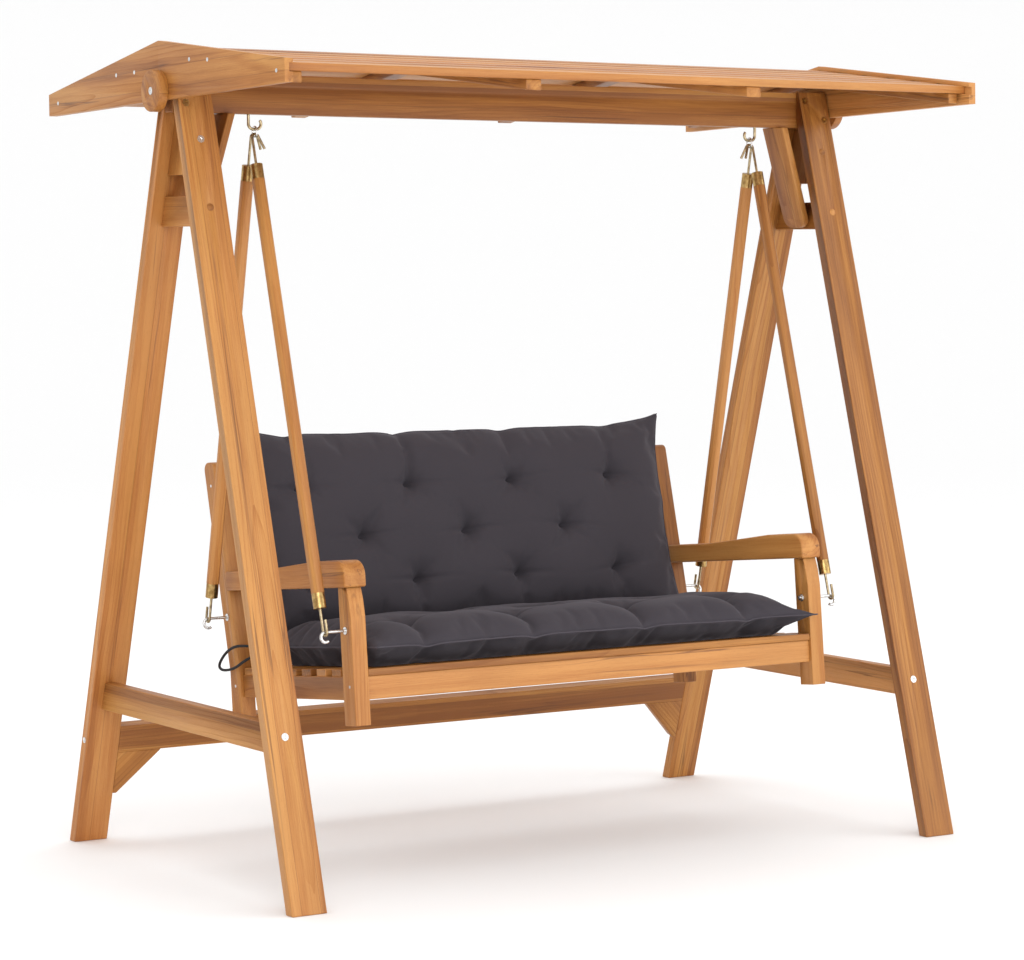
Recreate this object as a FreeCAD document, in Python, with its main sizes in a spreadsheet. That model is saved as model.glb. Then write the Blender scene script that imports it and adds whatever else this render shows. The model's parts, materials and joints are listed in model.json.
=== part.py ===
import FreeCAD, Part
import math
import os
import re

import Sketcher

# Canopy swing bench, millimetres. +X right, +Y towards the back, +Z up; the origin is on the ground
# below the middle of the object. Two leaning-leg side frames carry a top beam. A slatted canopy
# tilts about the ends of the beam, and a slatted bench swings from two hooks under it.

SIZES = {
    # side frames
    "leg_outer_x": 913.0, "leg_width": 85.0, "leg_thick": 28.0, "foot_reach": 545.0,
    "leg_top_reach": 28.4, "leg_top": 1800.0, "plank": 28.0, "round_edge": 2.0,
    "side_rail_low": 327.0, "side_rail_high": 392.0,
    "cross_rail_low": 1459.0, "cross_rail_high": 1526.0, "head_low": 1573.0,
    # top beam and its knee braces
    "beam_low": 1711.0, "beam_high": 1798.0, "beam_thick": 35.0,
    "knee_inner_top": 767.0, "knee_slope": 0.3, "knee_thick": 18.0, "knee_half": 40.0,
    "knee_low": 1463.0, "knee_round": 25.0,
    # rear stretcher, in the plane of the rear legs
    "stretcher_along": 228.0, "stretcher_deep": 68.0, "gusset_run": 115.0, "gusset_drop": 106.0,
    "gusset_toe": 9.0,
    # canopy
    "pivot_height": 1757.0, "canopy_tilt": 1.6, "gable_inner_x": 916.0, "gable_thick": 20.0,
    "gable_half": 570.0, "gable_low": 20.0, "gable_tip": 30.0, "gable_apex": 111.0,
    "disc_radius": 46.0, "disc_thick": 22.0, "pivot_bolt_radius": 5.0, "running_gap": 0.05,
    "roof_drop": 10.0, "roof_slat_thick": 18.0, "roof_slat_width": 64.0, "roof_slat_gap": 31.0,
    "rafter_deep": 24.0, "rafter_short": 30.0, "rafter_rear_short": 62.0,
    "rafter_outer_wide": 27.0, "rafter_inner_wide": 40.0, "rafter_outer_x": 892.0, "rafter_inner_x": 300.0,
    "groove_deep": 9.0,
    # hangers
    "hook_x": 697.0, "swing_axis": 1678.0, "beam_hook_mean": 12.0, "beam_hook_wire": 3.4,
    "beam_hook_flat": 8.0,
    "link_wire": 2.0, "link_mean": 9.5, "link_pitch": 23.4, "wire_gap": 0.4,
    "rod_x": 705.0, "rod_wire": 3.0, "rod_size": 26.0, "rod_bevel": 6.0,
    "ferrule_radius": 14.5, "ferrule_len": 34.0, "ferrule_wall": 1.2,
    "crown_lift": 7.2, "low_slack": 0.6, "top_hook_mean": 8.0, "low_hook_mean": 8.0,
    "top_neck": 64.0, "low_neck": 54.0,
    "tail_splay": 22.0, "tail_length": 32.0,
    # bench, in its own frame: V back from the front posts, W up from their feet
    "bench_y": -371.5, "bench_z": 365.0, "bench_tilt": 5.7,
    "post_outer_x": 654.0, "post_width": 38.0, "front_post_deep": 50.0,
    "rear_post_front": 528.0, "rear_post_deep": 48.0, "rear_bend": 113.0, "rear_post_top": 608.0,
    "rear_lean": 9.1, "arm_low": 305.0, "arm_rear_high": 350.0, "arm_front_high": 365.0,
    "arm_nose": 3.0, "arm_tail": 560.0, "arm_width": 56.0, "arm_round": 5.0, "nose_round": 36.0,
    "seat_rail_low": 56.0, "seat_rail_high": 108.0, "seat_rail_back": 8.0,
    "seat_slat_wide": 42.0, "seat_slat_pitch": 68.0, "seat_slat_thick": 16.0, "seat_slats": 8.0,
    "back_slats": 13.0, "back_slat_wide": 50.0, "back_slat_thick": 12.0,
    "back_rail_thick": 24.0, "back_rail_deep": 55.0, "back_low_rail": 46.0, "back_top_rail": 425.0,
    "hook_bolt_wire": 3.5, "ring_mean": 11.0, "ring_x": 705.0, "front_hook_v": 26.0,
    "front_hook_w": 210.0, "rear_hook_v": 575.0, "rear_hook_w": 243.0,
    # soft goods
    "seat_pad_half": 596.0, "seat_pad_front": -14.0, "seat_pad_back": 488.0, "seat_pad_thick": 86.0,
    "back_pad_half": 590.0, "back_pad_low": 104.0, "back_pad_high": 540.0, "back_pad_thick": 80.0,
}

doc = FreeCAD.newDocument("canopy_swing_bench")
sheet = doc.addObject("Spreadsheet::Sheet", "Sizes")
for row, (alias, number) in enumerate(SIZES.items(), start=1):
    sheet.set("A%d" % row, alias)
    sheet.set("B%d" % row, str(number))
    sheet.setAlias("B%d" % row, alias)
doc.recompute()

Vector = FreeCAD.Vector
X_AXIS, Y_AXIS, Z_AXIS = Vector(1, 0, 0), Vector(0, 1, 0), Vector(0, 0, 1)
SIDES = (("left", -1), ("right", 1))
nodes = []


def size(alias):
    """The number in the sheet's cell of that name."""
    return float(sheet.get(alias))


def turned(axis, degrees):
    """A rotation about an axis."""
    return FreeCAD.Rotation(axis, degrees)


def place(x, y, z, rotation=None):
    """A placement from a point and a rotation."""
    return FreeCAD.Placement(Vector(x, y, z), rotation or FreeCAD.Rotation())


def bind(obj, **formulas):
    """Bind properties to formulas over the sheet; a word of the sheet stands for its cell."""
    for name, formula in formulas.items():
        obj.setExpression(name, cells(formula))


def cells(formula):
    """Write each word of the sheet in a formula as a reference to its cell."""
    return re.sub(r"[A-Za-z_]+", lambda word: ("Sizes." if word.group() in SIZES else "") + word.group(),
                  str(formula))


def keep(obj, label, placement=None):
    """Name a finished piece, place it and put it on the list of nodes."""
    obj.Label = label
    if placement is not None:
        obj.Placement = placement
    nodes.append(obj)
    return obj


def block(length, width, height, placement):
    """A box with its sizes bound, at a placement."""
    box = doc.addObject("Part::Box", "Block")
    bind(box, Length=length, Width=width, Height=height)
    box.Placement = placement
    return box


def pin(radius, height, placement):
    """A cylinder along its own Z with its sizes bound, at a placement."""
    rod = doc.addObject("Part::Cylinder", "Pin")
    bind(rod, Radius=radius, Height=height)
    rod.Placement = placement
    return rod


def bend(mean, wire, sweep, placement):
    """Part of a ring of round wire in its own XY plane, from its own +X round by sweep degrees."""
    ring = doc.addObject("Part::Torus", "Bend")
    bind(ring, Radius1=mean, Radius2=wire)
    ring.Angle3 = sweep
    ring.Placement = placement
    return ring


def fused(*pieces):
    """One solid from pieces that touch or overlap."""
    whole = doc.addObject("Part::MultiFuse", "Joined")
    whole.Shapes = list(pieces)
    return whole


def group(pieces):
    """Separate solids kept together."""
    bundle = doc.addObject("Part::Compound", "Group")
    bundle.Links = list(pieces)
    return bundle


def drilled(piece, tools):
    """A piece with every tool taken out of it."""
    if not tools:
        return piece
    cut = doc.addObject("Part::Cut", "Drilled")
    cut.Base = piece
    cut.Tool = group(tools)
    return cut


def plane_of(body, role):
    """One of a body's own origin planes."""
    return next(item for item in body.Origin.OriginFeatures if item.Role == role)


def prism(outline, depth, plane="YZ_Plane", round_all="round_edge", corners=()):
    """A padded outline whose corner points are bound to formulas, with its edges rounded.

    outline: pairs of formulas, the corner points in order in the plane.
    corners: (point number, radius formula) for the corners that get a large round of their own.
    """
    body = doc.addObject("PartDesign::Body", "Body")
    sketch = body.newObject("Sketcher::SketchObject", "Outline")
    sketch.AttachmentSupport = (plane_of(body, plane), [""])
    sketch.MapMode = "FlatFace"
    count = len(outline)
    ring = [Vector(math.cos(2 * math.pi * i / count), math.sin(2 * math.pi * i / count), 0)
            for i in range(count)]
    for i in range(count):
        sketch.addGeometry(Part.LineSegment(ring[i], ring[(i + 1) % count]), False)
    for i in range(count):
        sketch.addConstraint(Sketcher.Constraint("Coincident", i, 2, (i + 1) % count, 1))
    for i, (across, up) in enumerate(outline):
        for kind, formula in (("DistanceX", across), ("DistanceY", up)):
            number = sketch.addConstraint(Sketcher.Constraint(kind, -1, 1, i, 1, 1.0))
            sketch.setExpression("Constraints[%d]" % number, cells(formula))
    pad = body.newObject("PartDesign::Pad", "Thickness")
    pad.Profile = sketch
    bind(pad, Length=depth)
    doc.recompute()
    for point, radius in corners:
        spot = sketch.Geometry[point].StartPoint
        spot = sketch.Placement.multVec(spot)
        names = ["Edge%d" % (i + 1) for i, edge in enumerate(body.Tip.Shape.Edges)
                 if passes(edge, spot, pad)]
        if not names:
            raise RuntimeError("no edge at corner %d" % point)
        before = body.Tip
        fillet = body.newObject("PartDesign::Fillet", "Corner")
        fillet.Base = (before, names)
        bind(fillet, Radius=radius)
        body.Tip = fillet
        doc.recompute()
    if round_all:
        before = body.Tip
        rim = body.newObject("PartDesign::Fillet", "Rim")
        rim.Base = (before, ["Edge1"])
        rim.UseAllEdges = True
        bind(rim, Radius=round_all)
        body.Tip = rim
        doc.recompute()
        if "Invalid" in rim.State:
            raise RuntimeError("the rounded edges failed: %s" % (outline,))
    return body


def passes(edge, spot, pad):
    """Whether a straight edge along the pad's direction stands on a corner point."""
    ends = [vertex.Point for vertex in edge.Vertexes]
    if len(ends) != 2:
        return False
    run = ends[1].sub(ends[0])
    away = min(end.sub(spot).Length for end in ends)
    return away < 0.01 and abs(run.Length - pad.Length.Value) < 0.01


# ---------------------------------------------------------------- side frames
lean_slope = (size("foot_reach") - size("leg_top_reach")) / size("leg_top")
lean = math.degrees(math.atan(lean_slope))
level_thick = size("leg_thick") / math.cos(math.radians(lean))
SLOPE = "((foot_reach - leg_top_reach) / leg_top)"
LEVEL = "(leg_thick * sqrt(1 + %s ^ 2))" % SLOPE
inset = (size("leg_width") - size("plank")) / 2


def inner_reach(height):
    """How far from the middle a leg's inner face is, at a height, as a formula."""
    return "(foot_reach - %s - %s * %s)" % (LEVEL, SLOPE, height)


SEAT_START = "((foot_reach - %s - beam_thick / 2) / %s)" % (LEVEL, SLOPE)
LEG_OUTLINE = [("foot_reach", "0"), ("leg_top_reach", "leg_top"), ("beam_thick / 2", "leg_top"),
               ("beam_thick / 2", SEAT_START), (inner_reach("0"), "0")]


def mirrored(outline):
    """The same outline on the other side of the middle."""
    return [("-1 * (%s)" % across, up) for across, up in reversed(outline)]


def leg_normal(sense):
    """The rotation that points a cylinder's own +Z into a leg from its outer face."""
    return turned(X_AXIS, sense * (90 + lean))


def outer_face(height):
    """How far from the middle a leg's outer face is, at a height."""
    return size("foot_reach") - lean_slope * height


# Each leg has five screws: two into the beam and one into each cross piece.
HEAD_RADIUS, HEAD_THICK, SHANK = 8.5, 2.0, 4.0
leg_middle = size("leg_outer_x") - size("leg_width") / 2
LEG_SCREWS = (("beam_outer", leg_middle + 24.0, 1731.0, 27.0),
              ("beam_inner", leg_middle - 27.0, 1778.0, 22.0),
              ("head", leg_middle, 1651.0, 55.0), ("cross", leg_middle, 1501.0, 62.0),
              ("side", leg_middle, 368.0, 72.0))


def leg_screw(side, sense, spec, extra=0.0):
    """The head and shank of one leg screw, or, with extra, the room that they need."""
    _, x, height, length = spec
    spot = place(side * x, sense * outer_face(height), height, leg_normal(sense))
    head = pin(HEAD_RADIUS + extra, HEAD_THICK + extra, spot.multiply(place(0, 0, -0.6)))
    shank = pin(SHANK + extra, length + extra, spot)
    return head, shank


def socketed(side, sense, spec):
    """One leg screw with the blind socket in its head."""
    _, x, height, _ = spec
    spot = place(side * x, sense * outer_face(height), height, leg_normal(sense))
    return drilled(fused(*leg_screw(side, sense, spec)), [pin("3.6", "2.6", spot.multiply(place(0, 0, -1.2)))])


screw_room = {}
bright_screws, brass_screws, plugs = [], [], []
for side_name, side in SIDES:
    for sense in (-1, 1):
        rooms = []
        for spec in LEG_SCREWS:
            rooms.extend(leg_screw(side, sense, spec, 0.05))
            if spec[0] == "cross" or (spec[0] == "head" and side > 0):
                _, x, height, length = spec
                spot = place(side * x, sense * outer_face(height), height, leg_normal(sense))
                plugs.append(pin(HEAD_RADIUS, HEAD_THICK, spot.multiply(place(0, 0, -0.6))))
                within = spot.multiply(place(0, 0, HEAD_THICK))
                bright_screws.append(pin(SHANK, length - HEAD_THICK, within))
            elif spec[0].startswith("beam"):
                brass_screws.append(socketed(side, sense, spec))
            else:
                bright_screws.append(socketed(side, sense, spec))
        screw_room[side, sense] = rooms


def room(side, *which):
    """Every leg screw's room on one side of the object, or on both when side is 0."""
    tools = []
    for (at, sense), pair in screw_room.items():
        if side in (0, at):
            for number, spec in enumerate(LEG_SCREWS):
                if spec[0] in which:
                    tools.extend(pair[2 * number:2 * number + 2])
    return tools


end_bolt_room, end_bolts = {}, []
stretcher_middle = size("stretcher_along") + size("stretcher_deep") / 2
rear_plane = turned(X_AXIS, lean)
rear_origin = Vector(0, size("foot_reach") - level_thick / 2, 0)


def in_rear_plane(x, across, along):
    """A point given in the plane of the rear legs: across its thickness and along the legs."""
    return rear_origin.add(rear_plane.multVec(Vector(x, across, along)))


for side_name, side in SIDES:
    start = in_rear_plane(side * size("leg_outer_x"), 0, stretcher_middle)
    aim = turned(Y_AXIS, -90 * side)
    spot = FreeCAD.Placement(start, aim)
    end_bolts.append(fused(pin(7.0, 2.0, spot.multiply(place(0, 0, -0.6))), pin(4.0, 150.0, spot)))
    end_bolt_room[side] = [pin(7.05, 2.05, spot.multiply(place(0, 0, -0.6))), pin(4.05, 150.05, spot)]

for side_name, side in SIDES:
    left_edge = -size("leg_outer_x") if side < 0 else size("leg_outer_x") - size("leg_width")
    for end_name, sense in (("front", -1), ("rear", 1)):
        outline = LEG_OUTLINE if sense > 0 else mirrored(LEG_OUTLINE)
        leg = prism(outline, "leg_width")
        leg.Placement = place(left_edge, 0, 0)
        tools = list(screw_room[side, sense])
        if sense > 0:
            tools += end_bolt_room[side]
        keep(drilled(leg, tools), "leg_%s_%s" % (end_name, side_name))
    low_x = side * leg_middle - size("plank") / 2
    for name, low, high, which in (("side_rail", "side_rail_low", "side_rail_high", "side"),
                                   ("cross_rail", "cross_rail_low", "cross_rail_high", "cross"),
                                   ("head_block", "head_low", "beam_low", "head")):
        outline = [("-1 * %s" % inner_reach(low), low), (inner_reach(low), low),
                   (inner_reach(high), high), ("-1 * %s" % inner_reach(high), high)]
        rail = prism(outline, "plank")
        rail.Placement = place(low_x, 0, 0)
        keep(drilled(rail, room(side, which)), "%s_%s" % (name, side_name))

# ---------------------------------------------------------------- top beam, hooks and braces
hook_height = size("swing_axis") + size("beam_hook_mean")
shank_x = size("hook_x") + size("beam_hook_flat") / 2 + size("beam_hook_mean")
hook_room = [pin("beam_hook_wire + running_gap", "beam_high - beam_low + 4",
                 place(side * shank_x, 0, size("beam_low") - 2)) for _, side in SIDES]
pivot_spots = {side: FreeCAD.Placement(Vector(side * (size("leg_outer_x") - 60.0), 0, size("pivot_height")),
                                       turned(Y_AXIS, 90 * side)) for _, side in SIDES}
pivot_room = [pin("pivot_bolt_radius + running_gap", "60.1", pivot_spots[side].multiply(place(0, 0, -0.05)))
              for _, side in SIDES]
beam = prism([("-1 * beam_thick / 2", "beam_low"), ("beam_thick / 2", "beam_low"),
              ("beam_thick / 2", "beam_high"), ("-1 * beam_thick / 2", "beam_high")],
             "2 * leg_outer_x")
beam.Placement = place(-size("leg_outer_x"), 0, 0)
keep(drilled(beam, room(0, "beam_outer", "beam_inner") + hook_room + pivot_room), "top_beam")

nuts = []
for side_name, side in SIDES:
    # A hook of wire in the XZ plane: a shank through the beam, a short level bottom that the link
    # turns on, and an open tip that curls up on the inner side.
    x, half = side * size("hook_x"), size("beam_hook_flat") / 2
    facing = turned(Z_AXIS, 0 if side > 0 else 180).multiply(turned(X_AXIS, 90))
    outer = place(x + side * half, 0, hook_height, facing.multiply(turned(Z_AXIS, -90)))
    inner = place(x - side * half, 0, hook_height, facing.multiply(turned(Z_AXIS, 140)))
    keep(fused(bend("beam_hook_mean", "beam_hook_wire", 90.0, outer),
               bend("beam_hook_mean", "beam_hook_wire", 130.0, inner),
               pin("beam_hook_wire", "beam_hook_flat", place(x - half, 0, size("swing_axis"),
                                                             turned(Y_AXIS, 90))),
               pin("beam_hook_wire", "beam_high + 12 - %s" % hook_height,
                   place(side * shank_x, 0, hook_height))), "beam_hook_%s" % side_name)
    top = size("beam_high")
    washer = drilled(pin("9", "1.5", place(side * shank_x, 0, top)),
                     [pin("beam_hook_wire + running_gap", "4", place(side * shank_x, 0, top - 1))])
    nut = doc.addObject("Part::Prism", "Nut")
    nut.Polygon = 6
    nut.Circumradius = 6.4
    nut.Height = 5.0
    nut.Placement = place(side * shank_x, 0, top + 1.5)
    nuts += [washer, drilled(nut, [pin("beam_hook_wire + running_gap", "8",
                                       place(side * shank_x, 0, top))])]
keep(group(nuts), "beam_hook_nuts")

for side_name, side in SIDES:
    # A knee brace is a wide thin board: its outline from the front, met by its outline from the side.
    foot_x = str(leg_middle - size("plank") / 2 - 0.2)
    fall = "knee_slope * (beam_low - %s)"
    thick = "knee_thick * sqrt(1 + knee_slope ^ 2)"
    outline = [("knee_inner_top", "beam_low"), ("knee_inner_top + " + fall % "knee_low", "knee_low"),
               (foot_x, "knee_low"),
               (foot_x, "beam_low - (%s - knee_inner_top - %s) / knee_slope" % (foot_x, thick)),
               ("knee_inner_top + " + thick, "beam_low")]
    if side < 0:
        outline = mirrored(outline)
    from_front = prism(outline, "2 * knee_half", plane="XZ_Plane", round_all="")
    from_front.Placement = place(0, size("knee_half"), 0)
    face = prism([("-1 * knee_half", "knee_low"), ("knee_half", "knee_low"), ("knee_half", "beam_low"),
                  ("-1 * knee_half", "beam_low")], "2 * plank + 100", round_all="",
                 corners=((0, "knee_round"), (1, "knee_round")))
    ends = side * (size("knee_inner_top") - 10), side * (size("knee_inner_top") + 146)
    face.Placement = place(min(ends), 0, 0)
    knee = doc.addObject("Part::MultiCommon", "Knee")
    knee.Shapes = [from_front, face]
    keep(knee, "knee_brace_%s" % side_name)

# ---------------------------------------------------------------- rear stretcher and gussets
stretcher = prism([("-1 * plank / 2", "stretcher_along"), ("plank / 2", "stretcher_along"),
                   ("plank / 2", "stretcher_along + stretcher_deep"),
                   ("-1 * plank / 2", "stretcher_along + stretcher_deep")], "2 * (leg_outer_x - leg_width)")
stretcher_start = in_rear_plane(-size("leg_outer_x") + size("leg_width"), 0, 0)
stretcher.Placement = FreeCAD.Placement(stretcher_start, rear_plane)
keep(drilled(stretcher, end_bolt_room[-1] + end_bolt_room[1]), "rear_stretcher")
gussets = []
for side_name, side in SIDES:
    corner = "(leg_outer_x - leg_width)"
    outline = [(corner, "stretcher_along"), ("(%s - gusset_run)" % corner, "stretcher_along"),
               ("(%s - gusset_toe)" % corner, "stretcher_along - gusset_drop"),
               (corner, "stretcher_along - gusset_drop")]
    if side < 0:
        outline = mirrored(outline)
    gusset = prism(outline, "plank", plane="XZ_Plane", round_all="")
    gusset.Placement = FreeCAD.Placement(in_rear_plane(0, size("plank") / 2, 0), rear_plane)
    gussets.append(gusset)
keep(group(gussets), "stretcher_gussets")

keep(group(brass_screws), "beam_connector_bolts")
keep(group(bright_screws + end_bolts), "frame_screws")
keep(group(plugs), "frame_plugs")

# ---------------------------------------------------------------- canopy, about the ends of the beam
canopy = place(0, 0, size("pivot_height"), turned(X_AXIS, -size("canopy_tilt")))
PITCH = "((gable_apex - gable_tip) / gable_half)"
pitch = math.degrees(math.atan((size("gable_apex") - size("gable_tip")) / size("gable_half")))
slat_start = 16.0
slats_each = 6


def roof_frame(sense, down):
    """A placement on one slope of the roof: its own X along the beam, Y down the slope, Z outwards."""
    top = place(0, 0, size("gable_apex"), turned(X_AXIS, -sense * pitch))
    return canopy.multiply(top).multiply(place(0, sense * down, 0))


slat_half = size("gable_inner_x") + size("groove_deep") - 0.5
roof_slats, groove_room = {-1: [], 1: []}, []
slat_top = size("roof_drop")
for sense in (-1, 1):
    for number in range(slats_each):
        start = slat_start + number * (size("roof_slat_width") + size("roof_slat_gap"))
        near = start if sense > 0 else start + size("roof_slat_width")
        spot = roof_frame(sense, near)
        roof_slats[sense].append(block("2 * (gable_inner_x + groove_deep - 0.5)", "roof_slat_width",
                                       "roof_slat_thick",
                                       spot.multiply(place(-slat_half, 0, -slat_top - size("roof_slat_thick")))))
    run = size("gable_half") + 30.0
    near = 0.0 if sense > 0 else run
    spot = roof_frame(sense, near)
    for _, side in SIDES:
        x = size("gable_inner_x") - 1.0 if side > 0 else -size("gable_inner_x") - size("groove_deep")
        groove_room.append(block("groove_deep + 1", str(run), "roof_slat_thick + 0.4",
                                 spot.multiply(place(x, 0, -slat_top - size("roof_slat_thick") - 0.2))))

for side_name, side in SIDES:
    outline = [("-1 * gable_half", "-1 * gable_low"), ("gable_half", "-1 * gable_low"),
               ("gable_half", "gable_tip"), ("0", "gable_apex"), ("-1 * gable_half", "gable_tip")]
    gable = prism(outline, "gable_thick", round_all="")
    inner = side * size("gable_inner_x") - (size("gable_thick") if side < 0 else 0)
    gable.Placement = canopy.multiply(place(inner, 0, 0))
    near_x = size("gable_inner_x") - 1
    bore = pin("pivot_bolt_radius + running_gap", "gable_thick + disc_thick + 4",
               FreeCAD.Placement(canopy.Base.add(Vector(side * near_x, 0, 0)), turned(Y_AXIS, 90 * side)))
    keep(drilled(gable, [bore] + groove_room), "gable_%s" % side_name)
    face = side * (size("gable_inner_x") + size("gable_thick"))
    disc_spot = FreeCAD.Placement(canopy.Base.add(Vector(face, 0, 0)), turned(Y_AXIS, 90 * side))
    disc = pin("disc_radius", "disc_thick", disc_spot)
    recess = pin("9", "3", disc_spot.multiply(place(0, 0, size("disc_thick") - 3)))
    bore = pin("pivot_bolt_radius + running_gap", "gable_thick + disc_thick + 4",
               FreeCAD.Placement(canopy.Base.add(Vector(side * near_x, 0, 0)), turned(Y_AXIS, 90 * side)))
    keep(drilled(disc, [bore, recess]), "pivot_disc_%s" % side_name)

pivot_bolts = []
for side_name, side in SIDES:
    length = 60.0 + 3.0 + size("gable_thick") + size("disc_thick") - 3.0
    shank = pin("pivot_bolt_radius", str(length), pivot_spots[side])
    head = pin("8.6", "2.4", pivot_spots[side].multiply(place(0, 0, length + 0.3)))
    neck = pin("pivot_bolt_radius", "0.4", pivot_spots[side].multiply(place(0, 0, length)))
    socket = pin("3.8", "2.6", pivot_spots[side].multiply(place(0, 0, length + 1.0)))
    pivot_bolts.append(drilled(fused(shank, neck, head), [socket]))
keep(group(pivot_bolts), "pivot_bolts")

for place_name in ("outer", "inner"):
    rafters = []
    wide = "rafter_%s_wide" % place_name
    for _, side in SIDES:
        # A rafter follows both slopes: a chevron outline under the slats.
        under = "(gable_apex - roof_drop - roof_slat_thick - 0.6)"
        reach, rear_reach = "(gable_half - rafter_short)", "(gable_half - rafter_rear_short)"
        outline = [("-1 * %s" % reach, "%s - %s * %s" % (under, PITCH, reach)),
                   ("-1 * %s" % reach, "%s - rafter_deep - %s * %s" % (under, PITCH, reach)),
                   ("0", "%s - rafter_deep" % under),
                   (rear_reach, "%s - rafter_deep - %s * %s" % (under, PITCH, rear_reach)),
                   (rear_reach, "%s - %s * %s" % (under, PITCH, rear_reach)), ("0", under)]
        rafter = prism(outline, wide, round_all="")
        near = side * size("rafter_%s_x" % place_name) - size(wide) / 2
        rafter.Placement = canopy.multiply(place(near, 0, 0))
        rafters.append(rafter)
    keep(group(rafters), "rafters_%s" % place_name)
keep(group(roof_slats[-1]), "canopy_slats_front")
keep(group(roof_slats[1]), "canopy_slats_rear")

gable_screws = []
for _, side in SIDES:
    for y, z in ((-535.0, 6.0), (-230.0, 52.0), (-146.0, 59.0), (120.0, 50.0), (211.0, 50.0), (520.0, 7.0)):
        face = side * (size("gable_inner_x") + size("gable_thick") + 0.5)
        spot = canopy.multiply(place(face, y, z, turned(Y_AXIS, -90 * side)))
        gable_screws.append(pin("4.5", "1.2", spot))
keep(group(gable_screws), "gable_screws")

# ---------------------------------------------------------------- hanger links
link_top = size("swing_axis") + size("beam_hook_wire") + size("link_wire") + size("wire_gap")
link_low = link_top - size("link_pitch")
for side_name, side in SIDES:
    spot = place(side * size("hook_x"), 0, 0)
    upright = turned(Y_AXIS, 90).multiply(turned(Z_AXIS, 90))
    upper_z = link_top - size("link_mean")
    lower_z = link_low + size("link_mean")
    upper = bend("link_mean", "link_wire", 180.0, spot.multiply(place(0, 0, upper_z, turned(Z_AXIS, 90).multiply(
        turned(X_AXIS, 90)))))
    lower = bend("link_mean", "link_wire", 180.0, spot.multiply(place(0, 0, lower_z, turned(Z_AXIS, 90).multiply(
        turned(X_AXIS, -90)))))
    legs = [pin("link_wire", str(upper_z - lower_z),
                spot.multiply(place(0, sense * size("link_mean"), lower_z))) for sense in (-1, 1)]
    keep(fused(upper, lower, *legs), "hanger_link_%s" % side_name)

# ---------------------------------------------------------------- bench frame of reference
bench = place(0, size("bench_y"), size("bench_z"), turned(X_AXIS, -size("bench_tilt")))
back = bench.multiply(place(0, size("rear_post_front") + size("rear_post_deep") / 2, size("rear_bend"),
                            turned(X_AXIS, -size("rear_lean"))))

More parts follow.
